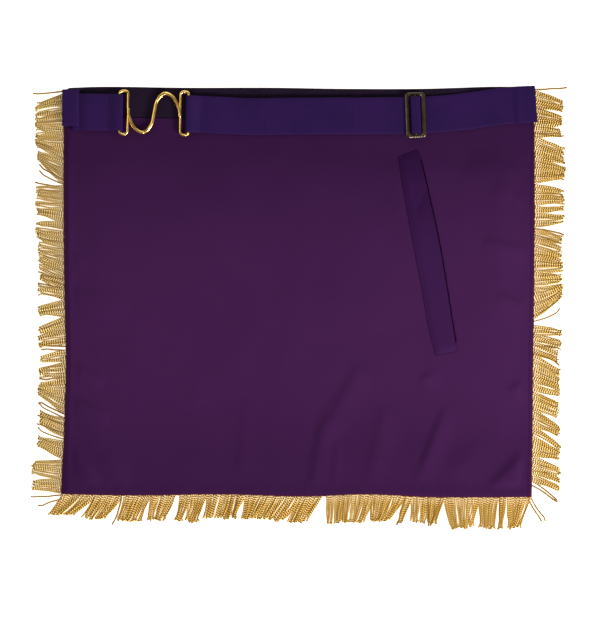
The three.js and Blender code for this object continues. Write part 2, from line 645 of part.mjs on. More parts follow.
// Flat webbing along a path in the x-z plane, with its middle line at line(x) across the apron
function webbing(path, line) {
  const points = divided(path);
  const lower = [];
  const upper = [];
  points.forEach((p, i) => {
    const ahead = points[Math.min(i + 1, points.length - 1)];
    const behind = points[Math.max(i - 1, 0)];
    const along = ahead.clone().sub(behind).normalize();
    const turned = turnOf(line, p.x);
    const wide = new THREE.Vector3(-Math.sin(turned), Math.cos(turned), 0).multiplyScalar(BELT_WIDTH / 2);
    const thick = new THREE.Vector3(-along.y * Math.cos(turned), -along.y * Math.sin(turned), along.x);
    thick.multiplyScalar(BELT_THICK / 2);
    const middle = new THREE.Vector3(p.x, line(p.x), p.y);
    const under = middle.clone().sub(thick);
    const over = middle.clone().add(thick);
    lower.push([under.clone().sub(wide), under.clone().add(wide)]);
    upper.push([over.clone().sub(wide), over.clone().add(wide)]);
  });
  return slab(lower, upper);
}

const claspX = xAt(CLASP_AT);
const leftBarX = claspX - CLASP_LENGTH / 2 + CLASP_WIRE / 2;
const rightBarX = claspX + CLASP_LENGTH / 2 - CLASP_WIRE / 2;
const beltLeft = xAt(0) - BELT_OVERHANG;
const beltRight = xAt(1) + BELT_OVERHANG;
const turnRadius = layerStep / 2;

// The tab at the left corner, with its end turned under. It is sewn down over the end of the loop.
const tabFold = beltLeft + turnRadius + BELT_THICK / 2;
const tabEnd = beltLeft + TAB_LENGTH;

function beltTab() {
  const path = [
    flat(tabFold + TAB_TAIL, firstLayer),
    ...turn(tabFold, firstLayer, secondLayer, -1),
    flat(tabEnd, secondLayer),
  ];
  return piece("belt_tab", webbing(path, tabY), beltCloth);
}

// The short loop from under the tab round the clasp's left ring and back
function beltLoop() {
  const start = tabFold + TAB_TAIL + 2 * GAP;
  const ringSide = leftBarX + GAP;
  const path = [
    ...rounded([
      flat(start, firstLayer),
      flat(tabEnd + BELT_THICK, firstLayer),
      flat(tabEnd + BELT_THICK + SLOPE_RUN, secondLayer),
      flat(leftBarX - 2 * SLOPE_RUN, secondLayer),
      flat(leftBarX - SLOPE_RUN / 2, overRing),
      flat(ringSide - GAP / 2, overRing),
    ]),
    ...turn(ringSide, overRing, firstLayer, 1),
    flat(tabEnd + 3 * BELT_THICK + SLOPE_RUN, firstLayer),
  ];
  return piece("belt_loop", webbing(path, beltY), beltCloth);
}

// The long strap: turned under at the right corner, over the slider's middle bar, round the clasp's right
// ring, and back under itself to its end, which goes round the same bar
function beltStrap() {
  const fold = beltRight - turnRadius - BELT_THICK / 2;
  const tailEnd = fold - TURNED_END;
  const slider = xAt(SLIDER_AT);
  const innerRun = SLIDER_MIDDLE_BAR / 2 + GAP + BELT_THICK / 2;
  const outerRun = innerRun + layerStep;
  const ringSide = rightBarX - GAP;
  const path = [
    flat(tailEnd, firstLayer),
    ...turn(fold, firstLayer, secondLayer, 1),
    ...rounded([
      flat(tailEnd + SLOPE_RUN / 2, secondLayer),
      flat(tailEnd - GAP, secondLayer),
      flat(tailEnd - SLOPE_RUN, firstLayer),
      flat(slider + outerRun, firstLayer),
      flat(slider + outerRun, strapOverBar),
      flat(slider - outerRun, strapOverBar),
      flat(slider - outerRun, secondLayer),
      flat(rightBarX + 2 * SLOPE_RUN, secondLayer),
      flat(rightBarX + SLOPE_RUN / 2, overRing),
      flat(ringSide + GAP / 2, overRing),
    ]),
    ...turn(ringSide, overRing, firstLayer, -1),
    ...rounded([
      flat(ringSide + GAP / 2, firstLayer),
      flat(slider - innerRun, firstLayer),
      flat(slider - innerRun, foldOverBar),
      flat(slider + innerRun, foldOverBar),
      flat(slider + innerRun, secondLayer),
      flat(slider - SLIDER_MIDDLE_BAR / 4, secondLayer),
    ]),
  ];
  return piece("belt_strap", webbing(path, beltY), beltCloth);
}

// A rectangle with rounded corners about a middle point, as an outline or as a hole
function roundedRectangle(outline, middleX, width, height, radius) {
  const [x, y] = [width / 2, height / 2];
  const quarter = Math.PI / 2;
  outline.moveTo(middleX + x, y - radius);
  outline.absarc(middleX + x - radius, y - radius, radius, 0, quarter);
  outline.absarc(middleX - x + radius, y - radius, radius, quarter, 2 * quarter);
  outline.absarc(middleX - x + radius, -y + radius, radius, 2 * quarter, 3 * quarter);
  outline.absarc(middleX + x - radius, -y + radius, radius, 3 * quarter, 4 * quarter);
  return outline;
}

function metalPlate(outline, thick) {
  return new THREE.ExtrudeGeometry(outline, {
    depth: thick - 2 * METAL_BEVEL,
    curveSegments: METAL_ARC_STEPS,
    bevelThickness: METAL_BEVEL,
    bevelSize: METAL_BEVEL,
    bevelOffset: -METAL_BEVEL,
    bevelSegments: 1,
  }).translate(0, 0, METAL_BEVEL);
}

// Lays a metal piece on the belt's middle line, turned the way that the belt runs there
function onBelt(mesh, x, z) {
  mesh.position.set(x, beltY(x), z);
  mesh.rotation.z = turnOf(beltY, x);
  return mesh;
}

// The slider's frame, with a slot on each side of its middle bar
function beltSlider() {
  const slot = 2 * layerStep + SLOT_SPARE;
  const opening = BELT_WIDTH + 2 * SLIDER_PLAY;
  const width = 2 * SLIDER_SIDE_BAR + 2 * slot + SLIDER_MIDDLE_BAR;
  const height = opening + 2 * SLIDER_END_BAR;
  const outline = roundedRectangle(new THREE.Shape(), 0, width, height, SLIDER_CORNER);
  for (const side of [-1, 1]) {
    const middle = (side * (SLIDER_MIDDLE_BAR + slot)) / 2;
    outline.holes.push(roundedRectangle(new THREE.Path(), middle, slot, opening, SLIDER_CORNER / 3));
  }
  const frame = piece("belt_slider", metalPlate(outline, SLIDER_THICK), bronze);
  return onBelt(frame, xAt(SLIDER_AT), sliderBottom);
}

function claspRing(side) {
  const inside = BELT_WIDTH + 2 * CLASP_PLAY;
  const outline = roundedRectangle(new THREE.Shape(), 0, RING_DEPTH, inside + 2 * CLASP_WIRE, RING_CORNER);
  const hole = roundedRectangle(new THREE.Path(), 0, RING_DEPTH - 2 * CLASP_WIRE, inside, RING_CORNER / 3);
  outline.holes.push(hole);
  return metalPlate(outline, CLASP_WIRE).translate((side * (CLASP_LENGTH - RING_DEPTH)) / 2, 0, 0);
}

function claspHook() {
  const halfSpan = CLASP_LENGTH / 2 - RING_DEPTH + CLASP_WIRE / 2;
  const line = new THREE.CatmullRomCurve3(
    HOOK_LINE.map(({ x, y }) => new THREE.Vector3(x * halfSpan, (y * HOOK_HEIGHT) / 2, CLASP_WIRE / 2)),
  );
  const rim = shares(HOOK_SIDES)
    .slice(1)
    .map((share) => flat(Math.cos(2 * Math.PI * share), Math.sin(2 * Math.PI * share)));
  const wire = new THREE.Shape(rim.map((point) => point.multiplyScalar(HOOK_WIRE / 2)));
  return new THREE.ExtrudeGeometry(wire, { steps: HOOK_STEPS, extrudePath: line });
}

function beltClasp() {
  const solids = [claspRing(-1), claspRing(1), claspHook()].map(solidOf);
  return onBelt(piece("belt_clasp", geometryOf(wasm.Manifold.union(solids)), gold), claspX, claspBottom);
}

const apron = new THREE.Group();
apron.add(
  frontPanel(),
  liningPanel(),
  topBand(),
  pocketWelt(),
  fringe("left"),
  fringe("bottom"),
  fringe("right"),
  beltTab(),
  beltLoop(),
  beltStrap(),
  beltSlider(),
  beltClasp(),
);

export default apron;
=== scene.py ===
# A fringed ceremonial apron lying on its face, seen from the back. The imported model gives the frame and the
# solids, and this script dresses them: satin, ribbed webbing, twisted gold cords and metal fittings.
# Sizes are in millimetres, and every mesh is written in metres.
import math

import bpy
import numpy as np
from mathutils import Matrix


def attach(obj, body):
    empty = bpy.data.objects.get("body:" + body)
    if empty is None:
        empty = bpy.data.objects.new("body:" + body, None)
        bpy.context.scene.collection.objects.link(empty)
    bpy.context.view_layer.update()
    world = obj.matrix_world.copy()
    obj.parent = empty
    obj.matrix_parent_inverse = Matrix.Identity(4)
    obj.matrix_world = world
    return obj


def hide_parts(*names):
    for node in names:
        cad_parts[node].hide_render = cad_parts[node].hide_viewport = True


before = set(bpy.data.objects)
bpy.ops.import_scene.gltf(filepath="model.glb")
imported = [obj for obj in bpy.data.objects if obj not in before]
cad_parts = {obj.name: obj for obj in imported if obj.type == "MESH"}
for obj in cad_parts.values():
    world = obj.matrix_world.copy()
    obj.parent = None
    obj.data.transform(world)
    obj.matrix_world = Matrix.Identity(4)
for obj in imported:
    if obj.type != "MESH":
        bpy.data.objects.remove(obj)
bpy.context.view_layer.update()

MM = 0.001
BODY = "root"

# Panel and lining, as in the solid model
PANEL_WIDTH = 406.4
PANEL_HEIGHT = 352
FRONT_THICK = 1
LINING_THICK = 1
GAP = 0.3
HEM = 6
PUFF = 1.4
PUFF_RAMP = 28
FOLD_HEIGHT = 2.1
FOLD_WIDTH = 9
FOLD_RAMP = 8
LOWEST_DENT = 1
BAND_HEIGHT = 26

# Fringe, as in the solid model
TAPE_THICK = 1
TAPE_WIDTH = 9
TAPE_SHOWS = 0.9
TAPE_START = 0.006
FRINGE_LENGTH = 26
LOCK_SWEEP = 1.2

# Belt, as in the solid model
BELT_WIDTH = 31.8
BELT_THICK = 1.2
BELT_OVERHANG = 1.4
TURNED_END = 14
TAB_LENGTH = 14.8
TAB_TAIL = 6
SLOPE_RUN = 5
SLOPE_REACH = 0.5
TAB_DROP = 0.541

# Slider and clasp, as in the solid model
SLIDER_AT = 0.747
SLIDER_THICK = 1.8
SLIDER_SIDE_BAR = 3.4
SLIDER_END_BAR = 2.8
SLIDER_MIDDLE_BAR = 2.6
SLIDER_PLAY = 0.8
SLOT_SPARE = 0.9
SLIDER_CORNER = 3
SLIDER_BEVEL = (0.5, 0.36)
CLASP_AT = 0.192
CLASP_LENGTH = 62
CLASP_WIRE = 2.4
CLASP_PLAY = 1.5
RING_DEPTH = 9.5
RING_CORNER = 4
HOOK_WIRE = 3.2
HOOK_HEIGHT = 33.6

# Pocket, as in the solid model
WELT_LENGTH = 175.4
WELT_WIDTH = 21
WELT_THICK = 1
WELT_LEAN = math.radians(10.8)
WELT_ACROSS = 0.772
WELT_DOWN = 0.407
WELT_TOP_SLANT = 0.2
WELT_LIFT = 0.7
WELT_PRESSED = 0.7
MOUTH_UNDER = 1.2
MOUTH_BESIDE = 0.9
MOUTH_END = 8

# Distances from a sheet's edges at which its grid has its outer lines
ROUND_EDGE = (0, 0.05, 0.2, 0.45, 0.75, 1.1)
LINING_EDGE = (0, 0.1, 0.35, 0.8, 1.5, 2.4, 3.4, 4.6)
WELT_EDGE = (0, 0.04, 0.15, 0.35, 0.6, 0.9)
TAPE_EDGE = (0, 0.06, 0.2, 0.5)

# Cloth detail that the solids leave out, with painted light and shade on the satin
PANEL_STEP = 5
LINING_STEP = 2.2
THINNEST = 0.06
EDGE_ROLL = 4.2
EDGE_DROP = 0.55
STITCH_INSET = 3.7
STITCH_WIDTH = 0.6
RIM = 1.1
# Darker hems: the front's darker cloth rolled over, with painted shade that is deeper on the left, and
# painted shade along the stitch line
HEM_SHADE = (0.5, 0.15)
STITCH_SHADE = 0.3
# Painted light and shade on the lining's purple: lighter below the belt and on the right, darker at the
# bottom
SHADE_BELOW_BELT = 0.65
SHADE_ON_RIGHT = 0.1
SHADE_AT_BOTTOM = -0.6
CRUMPLE = 0.1
CRUMPLE_SIZE = 34
PUCKER = 0.1
PUCKER_SIZE = 7
STITCH_DEPTH = 0.25
CORNER_CUT = 3.2
BAND_WAVE = 0.12
BAND_WAVE_SIZE = 22
WELT_SEWN = 0.25
WELT_LOWEST = 0.2
WELT_PRESSED_REACH = 3.5
# Painted shade along the welt's edges
WELT_HEM_SHADE = 0.2
WELT_STITCH_DEPTH = 0.22
WELT_STITCH_AT = 2
WELT_STITCH_WIDTH = 0.8
WELT_PUCKER = 0.08
WELT_PUCKER_SIZE = 6
WELT_PUCKER_REACH = 5
DIMPLE_DEPTH = 0.4
DIMPLE_AT = 0.26
DIMPLE_SLANT = 0.14
DIMPLE_WIDTH = 0.02
BELT_RIPPLE = 0.16
BELT_RIPPLE_LENGTH = 55

# Twisted cords of the fringe. They hang in small bundles, each with its own bend and its own tip.
CORD_RADIUS = 1
CORD_PITCH = 1.22
CORD_TURN = 4
CORD_RINGS = 42
ROOT_SPREAD = 1.2
CORD_ROOT = -1
CORD_DROP = 7
CORD_BEND = 0.3
CORD_STRAY = 0.5
ROOT_STRAY = 0.25
CORD_HOOK = 1
CORD_HOOK_LENGTH = 4
CORD_REACH = (0.93, 1)
CORD_THICKNESS = (0.92, 1.06)
CORD_LIFT = (0, 0.3)
WAVER = (0.1, 0.45)
WAVER_LENGTH = (1.8, 4.5)
WAVER_PHASE = (0, 6.3)
TWIST_STEP = 0.4
TWIST_STRAY = 0.6
LEVELS = (0, 1)
LEVEL_SHARES = (0.75, 0.25)
LEVEL_STEP = 0.4
SEAM_STEP = 0.1
LOWEST_LEVEL = 0.8
BUNDLE_CORDS = 5
BUNDLE_BEND = 0.45
BUNDLE_STRAY = 0.4
BUNDLE_REACH = (0.95, 1.02)
FLOOR_CLEAR = 0.03
CORD_TONE = 0.45
TONE_SPREAD = 0.16
STRAY_TONE = -0.3
# Painted shade between a cord's plies, and how much darker stray cords are
PLY_GROOVE = 0.35
STRAY_GROOVE = 0.22
ROOT_PALE = 0.4
ROOT_PALE_LENGTH = 9

# A cord's tip: how far from its end its last rings are, its rounding and the knob that it swells to
TIP_STEPS = np.array([1.2, 0.85, 0.5, 0.25, 0.08, 0])
BEFORE_TIP = 0.5
TIP_ROUND = 0.7
TIP_KNOB = 0.15
TIP_KNOB_AT = 0.9

# A cord's section, which turns along it: angle in sixths of a turn, share of its radius, and how much painted
# shade it gets between the two plies
CORD_SECTION = [(0, 1, 0), (1, 0.62, 1), (2, 0.62, 1), (3, 1, 0), (4, 0.62, 1), (5, 0.62, 1)]

# Edges of the panel: share along the edge, and how far it stands out as a share of the panel's size
LEFT_EDGE = [
    (0, -0.002), (0.08, 0), (0.4, 0), (0.55, -0.002), (0.67, -0.0045), (0.78, -0.002), (0.86, 0),
    (0.94, 0.004), (1, 0.006),
]
RIGHT_EDGE = [(0, -0.002), (0.1, 0), (0.43, 0), (0.7, -0.003), (0.85, -0.004), (1, -0.0062)]
BOTTOM_EDGE = [
    (0, -0.0035), (0.14, 0), (0.34, -0.0025), (0.52, 0.0025), (0.65, -0.0025), (0.79, 0.0045), (1, 0.004),
]
TOP_EDGE = [
    (0, 0), (0.07, 0.003), (0.26, 0.0007), (0.45, 0.0007), (0.58, -0.0017), (0.77, -0.0017), (0.84, 0.0007),
    (0.9, 0.003), (1, 0.003),
]

# The belt's middle line: share across the panel, and drop under the top edge in belt widths
BELT_LINE = [
    (0.034, 0.655), (0.11, 0.67), (0.262, 0.705), (0.321, 0.737), (0.395, 0.78), (0.502, 0.767),
    (0.672, 0.759), (0.717, 0.753), (0.791, 0.715), (0.851, 0.639), (0.94, 0.484), (1.002, 0.436),
    (1.02, 0.418),
]

# The welt's sides: share down its length, and its left and right side in shares of its width
WELT_SIDES = [
    (0, -0.4, 0.42), (0.08, -0.44, 0.47), (0.25, -0.47, 0.52), (0.45, -0.48, 0.56), (0.65, -0.47, 0.53),
    (0.85, -0.5, 0.48), (1, -0.44, 0.45),
]

# Folds of the lining: from and to in thousandths, width, height, and how much narrower the left side is
FOLDS = [
    (0, 390, 55, 437, 0.8, 0.45, 2), (0, 498, 140, 540, 1.8, 0.5, 2),
    (0, 665, 85, 725, 1, 0.75, 2.5), (0, 755, 100, 812, 1.1, 0.75, 2.5),
    (10, 868, 75, 985, 0.9, 0.8, 2), (85, 890, 140, 990, 1.2, 0.5, 1.5),
    (267, 690, 292, 780, 1.5, 0.3, 1.5), (374, 960, 390, 760, 1, 0.35, 2),
    (527, 990, 556, 800, 1.2, 0.8, 2.4), (540, 870, 640, 670, 1.3, 0.75, 2),
    (572, 985, 583, 860, 0.6, 0.35, 2), (648, 975, 685, 775, 1.2, 0.6, 2),
    (750, 965, 815, 775, 1.1, 0.9, 3), (815, 960, 900, 865, 1.6, 0.5, 1.6),
    (905, 985, 990, 888, 2.2, 1.1, 5), (940, 748, 995, 720, 1.2, 0.6, 3),
    (757, 724, 790, 695, 0.8, 0.5, 2), (890, 372, 995, 408, 1.3, 0.6, 3),
    (920, 232, 995, 292, 1, 0.5, 2.5), (920, 505, 995, 548, 1, 0.5, 2.5),
    (860, 170, 960, 260, 2, 0.6, 1), (710, 170, 730, 320, 1.3, 0.5, 1),
    (730, 310, 765, 240, 1.2, -0.5, 1), (360, 500, 200, 760, 4, -0.35, 1),
    (310, 150, 120, 300, 3, -0.4, 1), (480, 160, 380, 300, 2, -0.4, 1),
    (600, 300, 660, 600, 5, 0.5, 1),
]

# Locks of the fringe in thousandths: root from and to, tip from and to, along the edge, and reach
LEFT_LOCKS = [
    (16, 60, 40, 69, 1000), (60, 112, 77, 99, 1000), (112, 173, 114, 141, 970), (173, 232, 159, 170, 930),
    (241, 281, 240, 267, 950), (283, 330, 280, 310, 960), (332, 381, 328, 364, 970),
    (381, 472, 369, 447, 900), (472, 494, 457, 468, 840), (494, 518, 482, 506, 940),
    (522, 560, 538, 558, 920), (563, 594, 585, 604, 940), (597, 626, 607, 636, 940),
    (646, 670, 662, 675, 920), (675, 707, 686, 707, 920), (712, 798, 726, 752, 930),
    (812, 854, 790, 825, 880), (869, 908, 857, 876, 900), (915, 960, 918, 942, 1040),
    (964, 992, 964, 985, 1040),
]
RIGHT_LOCKS = [
    (9, 50, 33, 58, 1010), (50, 97, 72, 94, 980), (97, 121, 104, 121, 930), (121, 146, 148, 165, 1040),
    (146, 173, 168, 188, 1040), (173, 232, 197, 221, 1060), (239, 273, 249, 273, 1050),
    (276, 303, 273, 298, 1040), (310, 339, 315, 330, 1010), (347, 369, 362, 384, 980),
    (369, 411, 388, 428, 980), (413, 455, 428, 447, 1000), (457, 565, 460, 516, 980),
    (585, 604, 596, 609, 980), (607, 624, 621, 641, 970), (627, 653, 646, 675, 900),
    (657, 740, 692, 757, 950), (748, 766, 773, 794, 930), (768, 789, 795, 810, 880),
    (793, 832, 830, 857, 930), (835, 903, 879, 915, 960), (906, 940, 930, 957, 980),
    (942, 965, 962, 991, 1000),
]
BOTTOM_LOCKS = [
    (-2, 66, -34, 18, 720), (68, 121, 36, 83, 840), (130, 183, 111, 162, 920), (187, 236, 177, 209, 880),
    (247, 268, 234, 245, 920), (270, 302, 257, 281, 950), (304, 362, 294, 347, 860),
    (362, 383, 351, 366, 830), (385, 432, 379, 404, 830), (436, 502, 406, 466, 860),
    (502, 547, 470, 519, 920), (560, 591, 560, 583, 950), (594, 655, 585, 638, 950),
    (655, 726, 653, 691, 920), (728, 740, 711, 719, 1000), (743, 779, 736, 774, 920),
    (781, 806, 777, 789, 950), (809, 881, 823, 868, 1080), (883, 923, 881, 917, 1080),
    (928, 938, 928, 934, 1070), (945, 990, 945, 968, 1100),
]

# Single cords that stray from their locks, in thousandths: root, tip and reach
LEFT_STRAYS = [
    (6.6, 14, 1070), (225, 193, 820), (235, 206, 820), (244, 231, 970), (469, 457, 820), (483, 465, 820),
    (491, 478, 900), (634, 629, 900), (644, 641, 850), (710, 716, 900), (800, 766, 900), (810, 778, 870),
    (828, 802, 920), (847, 822, 940), (861, 837, 890), (999, 1004, 1020), (1010, 1030, 770),
]
RIGHT_STRAYS = [
    (4, -1, 1130), (112, 120, 990), (346, 360, 1000), (361, 381, 920), (573, 548, 890), (632, 638, 850),
    (650, 675, 890), (966, 1012, 870), (976, 1019, 880),
]
BOTTOM_STRAYS = [
    (123, 104, 990), (236, 211, 860), (357, 346, 820), (370, 359, 830), (727, 709, 1010), (774, 776, 980),
    (802, 780, 980), (927, 925, 1090), (986, 1017, 820), (993, 1029, 800),
]

# The hook's middle line, as shares of half its span and half its height
HOOK_LINE = [
    (-0.98, 0.25), (-0.95, -0.2), (-0.72, -0.8), (-0.38, -1), (-0.1, -0.6), (0, 0), (0.1, 0.6), (0.38, 1),
    (0.72, 0.8), (0.95, 0.2), (0.98, -0.25),
]

# Heights of the layers above the surface, from the lowest up
TAPE_BOTTOM = FRONT_THICK + GAP
TAPE_TOP = TAPE_BOTTOM + TAPE_THICK
BORDER_BOTTOM = TAPE_TOP + GAP
BORDER_TOP = BORDER_BOTTOM + LINING_THICK
LAYER_STEP = BELT_THICK + GAP
FIRST_LAYER = BORDER_TOP + GAP + BELT_THICK / 2
SECOND_LAYER = FIRST_LAYER + LAYER_STEP
SLIDER_BOTTOM = SECOND_LAYER + BELT_THICK / 2 + GAP
FOLD_OVER_BAR = SLIDER_BOTTOM + SLIDER_THICK + GAP + BELT_THICK / 2
STRAP_OVER_BAR = FOLD_OVER_BAR + LAYER_STEP
CLASP_BOTTOM = FIRST_LAYER + BELT_THICK / 2 + GAP
OVER_RING = CLASP_BOTTOM + CLASP_WIRE + GAP + BELT_THICK / 2


# Curves and places on the panel

def curve_of(rows, value=1):
    """A smooth curve through a table's rows: its slope at a row is the mean of those on either side."""
    table = np.array(rows, float)
    places = table[:, 0]
    values = table[:, value]
    steps = np.diff(values) / np.diff(places)
    slopes = np.concatenate([steps[:1], (steps[1:] + steps[:-1]) / 2, steps[-1:]])

    def read(at):
        at = np.clip(at, places[0], places[-1])
        i = np.clip(np.searchsorted(places, at) - 1, 0, len(places) - 2)
        run = places[i + 1] - places[i]
        p = (at - places[i]) / run
        q = 1 - p
        from_start = q * q * ((1 + 2 * p) * values[i] + p * run * slopes[i])
        from_end = p * p * ((3 - 2 * p) * values[i + 1] - q * run * slopes[i + 1])
        return from_start + from_end

    return read


left_out = curve_of(LEFT_EDGE)
right_out = curve_of(RIGHT_EDGE)
top_out = curve_of(TOP_EDGE)
bottom_out = curve_of(BOTTOM_EDGE)
belt_drop = curve_of(BELT_LINE)
welt_left = curve_of(WELT_SIDES, 1)
welt_right = curve_of(WELT_SIDES, 2)


def across_of(x):
    return x / PANEL_WIDTH + 0.5


def x_at(across):
    return (across - 0.5) * PANEL_WIDTH


def y_at(down):
    return (0.5 - down) * PANEL_HEIGHT


def left_x(down):
    return x_at(-left_out(down))


def right_x(down):
    return x_at(1 + right_out(down))


def top_y(across):
    return y_at(-top_out(across))


def bottom_y(across):
    return y_at(1 + bottom_out(across))


def belt_y(x):
    return y_at(0) - belt_drop(across_of(x)) * BELT_WIDTH


def tab_y(x):
    return y_at(0) - TAB_DROP * BELT_WIDTH + 0 * x


def slope(line, x):
    """The angle that a line across the apron makes at a place."""
    return np.arctan2(line(x + SLOPE_REACH) - line(x - SLOPE_REACH), 2 * SLOPE_REACH)


def mix(a, b, share):
    return a + (b - a) * share


def smooth(value, start, end):
    """Rises smoothly from 0 at the start to 1 at the end."""
    share = np.clip((value - start) / (end - start), 0, 1)
    return share * share * (3 - 2 * share)


def panel_point(across, down):
    """A place on the panel, at shares of its width and height inside its own bent edges."""
    x = mix(left_x(down), right_x(down), across)
    y = mix(top_y(across), bottom_y(across), down)
    return x, y


def ripples(x, y, size, seed, waves=9):
    """Soft uneven waves, about 1 high and a size apart, the same on every run."""
    random = np.random.default_rng(seed)
    total = 0
    for _ in range(waves):
        direction, phase = random.uniform(0, 2 * math.pi, 2)
        rate = 2 * math.pi / (size * random.uniform(0.7, 1.5))
        total = total + np.sin(rate * (x * math.cos(direction) + y * math.sin(direction)) + phase)
    return total / math.sqrt(waves)


def fold_at(x, y, fold):
    from_x, from_y, to_x, to_y, wide, high, steep = fold
    start_x, start_y = x_at(from_x / 1000), y_at(from_y / 1000)
    run_x, run_y = x_at(to_x / 1000) - start_x, y_at(to_y / 1000) - start_y
    share = ((x - start_x) * run_x + (y - start_y) * run_y) / (run_x ** 2 + run_y ** 2)
    share = np.clip(share, 0, 1)
    left = run_x * (y - start_y) - run_y * (x - start_x) > 0
    width = wide * FOLD_WIDTH / np.where(left, steep, 1)
    away = np.hypot(x - start_x - share * run_x, y - start_y - share * run_y) / width
    ends = 1 - np.abs(2 * share - 1) ** 3
    return high * FOLD_HEIGHT * np.exp(-away * away) * ends


FLAT_UNDER_BELT = max(drop for _, drop in BELT_LINE) * BELT_WIDTH + BELT_WIDTH / 2 + HEM


def from_edge(x, y):
    """The distance to the nearest of the side and bottom edges."""
    down = 0.5 - y / PANEL_HEIGHT
    return np.minimum(np.minimum(x - left_x(down), right_x(down) - x), y - bottom_y(across_of(x)))


def swell(x, y):
    """How far the lining stands above its border, as in the solid model."""
    edge = from_edge(x, y)
    from_belt = y_at(0) - FLAT_UNDER_BELT - y
    free = smooth(edge, HEM, HEM + FOLD_RAMP) * smooth(from_belt, 0, PUFF_RAMP)
    full = smooth(edge, HEM, HEM + PUFF_RAMP)
    folds = sum(fold_at(x, y, fold) for fold in FOLDS)
    return free * np.maximum(-LOWEST_DENT, PUFF * full + folds)


def crumple(x, y):
    """Fine unevenness of the satin, and the puckers that its seam gathers."""
    edge = from_edge(x, y)
    soft = CRUMPLE * ripples(x, y, CRUMPLE_SIZE, seed=3) * smooth(edge, HEM, HEM + PUFF_RAMP)
    near_seam = np.exp(-((edge - HEM) / HEM) ** 2) * smooth(edge, 0, HEM / 2)
    return soft + PUCKER * ripples(x, y, PUCKER_SIZE, seed=4) * near_seam


def lining_top(x, y):
    return BORDER_TOP + swell(x, y) + crumple(x, y)


# Meshes

def as_mesh(name, points, faces, **values):
    """A mesh from points in millimetres, with named values for its material at each point."""
    points = np.asarray(points)
    mesh = bpy.data.meshes.new(name)
    mesh.from_pydata((points.reshape(-1, 3) * MM).tolist(), [], faces)
    mesh.update()
    for key, numbers in values.items():
        numbers = np.broadcast_to(np.asarray(numbers, np.float32), points.shape[:-1])
        mesh.attributes.new(key, "FLOAT", "POINT").data.foreach_set("value", numbers.ravel())
    mesh.shade_smooth()
    thing = bpy.data.objects.new(name, mesh)
    bpy.context.scene.collection.objects.link(thing)
    return thing


def quads(*corners):
    """Faces of four corners each, from grids of point numbers."""
    return np.stack(corners, -1).reshape(-1, 4)


def slab(name, x, y, lower, upper, **values):
    """A closed sheet between two heights over a grid of places, rows x columns."""
    under, over = np.arange(2 * x.size).reshape(2, *x.shape)

    def around(low, high):
        return quads(low[:-1], low[1:], high[1:], high[:-1])

    faces = np.concatenate([
        quads(over[:-1, :-1], over[1:, :-1], over[1:, 1:], over[:-1, 1:]),
        quads(under[:-1, :-1], under[:-1, 1:], under[1:, 1:], under[1:, :-1]),
        around(over[0], under[0]),
        around(under[-1], over[-1]),
        around(under[:, 0], over[:, 0]),
        around(over[:, -1], under[:, -1]),
    ])
    points = [np.stack([x, y, z + 0 * x], -1) for z in (lower, upper)]
    return as_mesh(name, points, faces.tolist(), **values)


def tubes(name, rings, **values):
    """Closed tubes, one for each first index of rings, which is tubes x rings x sides x 3."""
    index = np.arange(rings.size // 3).reshape(rings.shape[:3])
    onward = np.roll(index, -1, axis=2)
    walls = quads(index[:, :-1], onward[:, :-1], onward[:, 1:], index[:, 1:])
    caps = np.concatenate([index[:, 0, ::-1], index[:, -1]])
    return as_mesh(name, rings, walls.tolist() + caps.tolist(), **values)


def loop(name, rings):
    """A closed ring of sections, sections x sides x 3."""
    index = np.arange(rings.size // 3).reshape(rings.shape[:2])
    onward = np.roll(index, -1, axis=1)
    faces = quads(index, onward, np.roll(onward, -1, axis=0), np.roll(index, -1, axis=0))
    return as_mesh(name, rings, faces.tolist())


def combined(thing, operation, *others):
    """Joins or cuts a piece with others, which are used up."""
    for other in others:
        change = thing.modifiers.new(operation, "BOOLEAN")
        change.operation = operation
        change.solver = "EXACT"
        change.object = other
    whole = bpy.data.meshes.new_from_object(thing.evaluated_get(bpy.context.evaluated_depsgraph_get()))
    whole.set_sharp_from_angle(angle=math.radians(50))
    thing.modifiers.clear()
    thing.data = whole
    for other in others:
        bpy.data.objects.remove(other)


def shares(length, step, edge):
    """Places along a length as shares of it: at the given distances from both ends, then a step apart."""
    edge = np.array(edge, float)
    cells = max(1, round((length - 2 * edge[-1]) / step))
    inner = np.linspace(edge[-1], length - edge[-1], cells + 1)
    return np.concatenate([edge[:-1], inner, (length - edge[:-1])[::-1]]) / length


def roundness(distance, radius):
    """How much of a sheet's thickness is left at a distance from its rounded edge."""
    share = np.clip(distance / radius, 0, 1)
    return np.maximum(np.sqrt(share * (2 - share)), THINNEST)


def to_ends(share, length):
    """The distance to the nearer end of a length, at a share of it."""
    return np.minimum(share, 1 - share) * length


def unit(ways):
    return ways / np.linalg.norm(ways, axis=-1, keepdims=True)


def directions(line):
    """The way ahead and the level way to its left, at each point of a line or of each of several."""
    ahead = unit(np.gradient(line, axis=-2))
    return ahead, unit(np.cross([0, 0, 1], ahead))


def gone_along(line):
    """The distance from its start to each point of a line, or of each of several."""
    gone = np.cumsum(np.linalg.norm(np.diff(line, axis=-2), axis=-1), -1)
    return np.concatenate([0 * gone[..., :1], gone], -1)


# Materials

def feed(tree, socket, value):
    """Links a socket to a node's output, or gives it a constant."""
    if hasattr(value, "is_output"):
        tree.links.new(value, socket)
    else:
        socket.default_value = value


def fill(tree, node, **inputs):
    """Feeds a node's named inputs."""
    for name, value in inputs.items():
        feed(tree, node.inputs[name.replace("_", " ")], value)


def new_material(name, roughness, metallic=0, specular=0.5):
    material = bpy.data.materials.new(name)
    material.use_nodes = True
    tree = material.node_tree
    shader = tree.nodes["Principled BSDF"]
    fill(tree, shader, Roughness=roughness, Metallic=metallic, Specular_IOR_Level=specular)
    return material, tree, shader


def add(tree, kind, **inputs):
    node = tree.nodes.new("ShaderNode" + kind)
    fill(tree, node, **inputs)
    return node


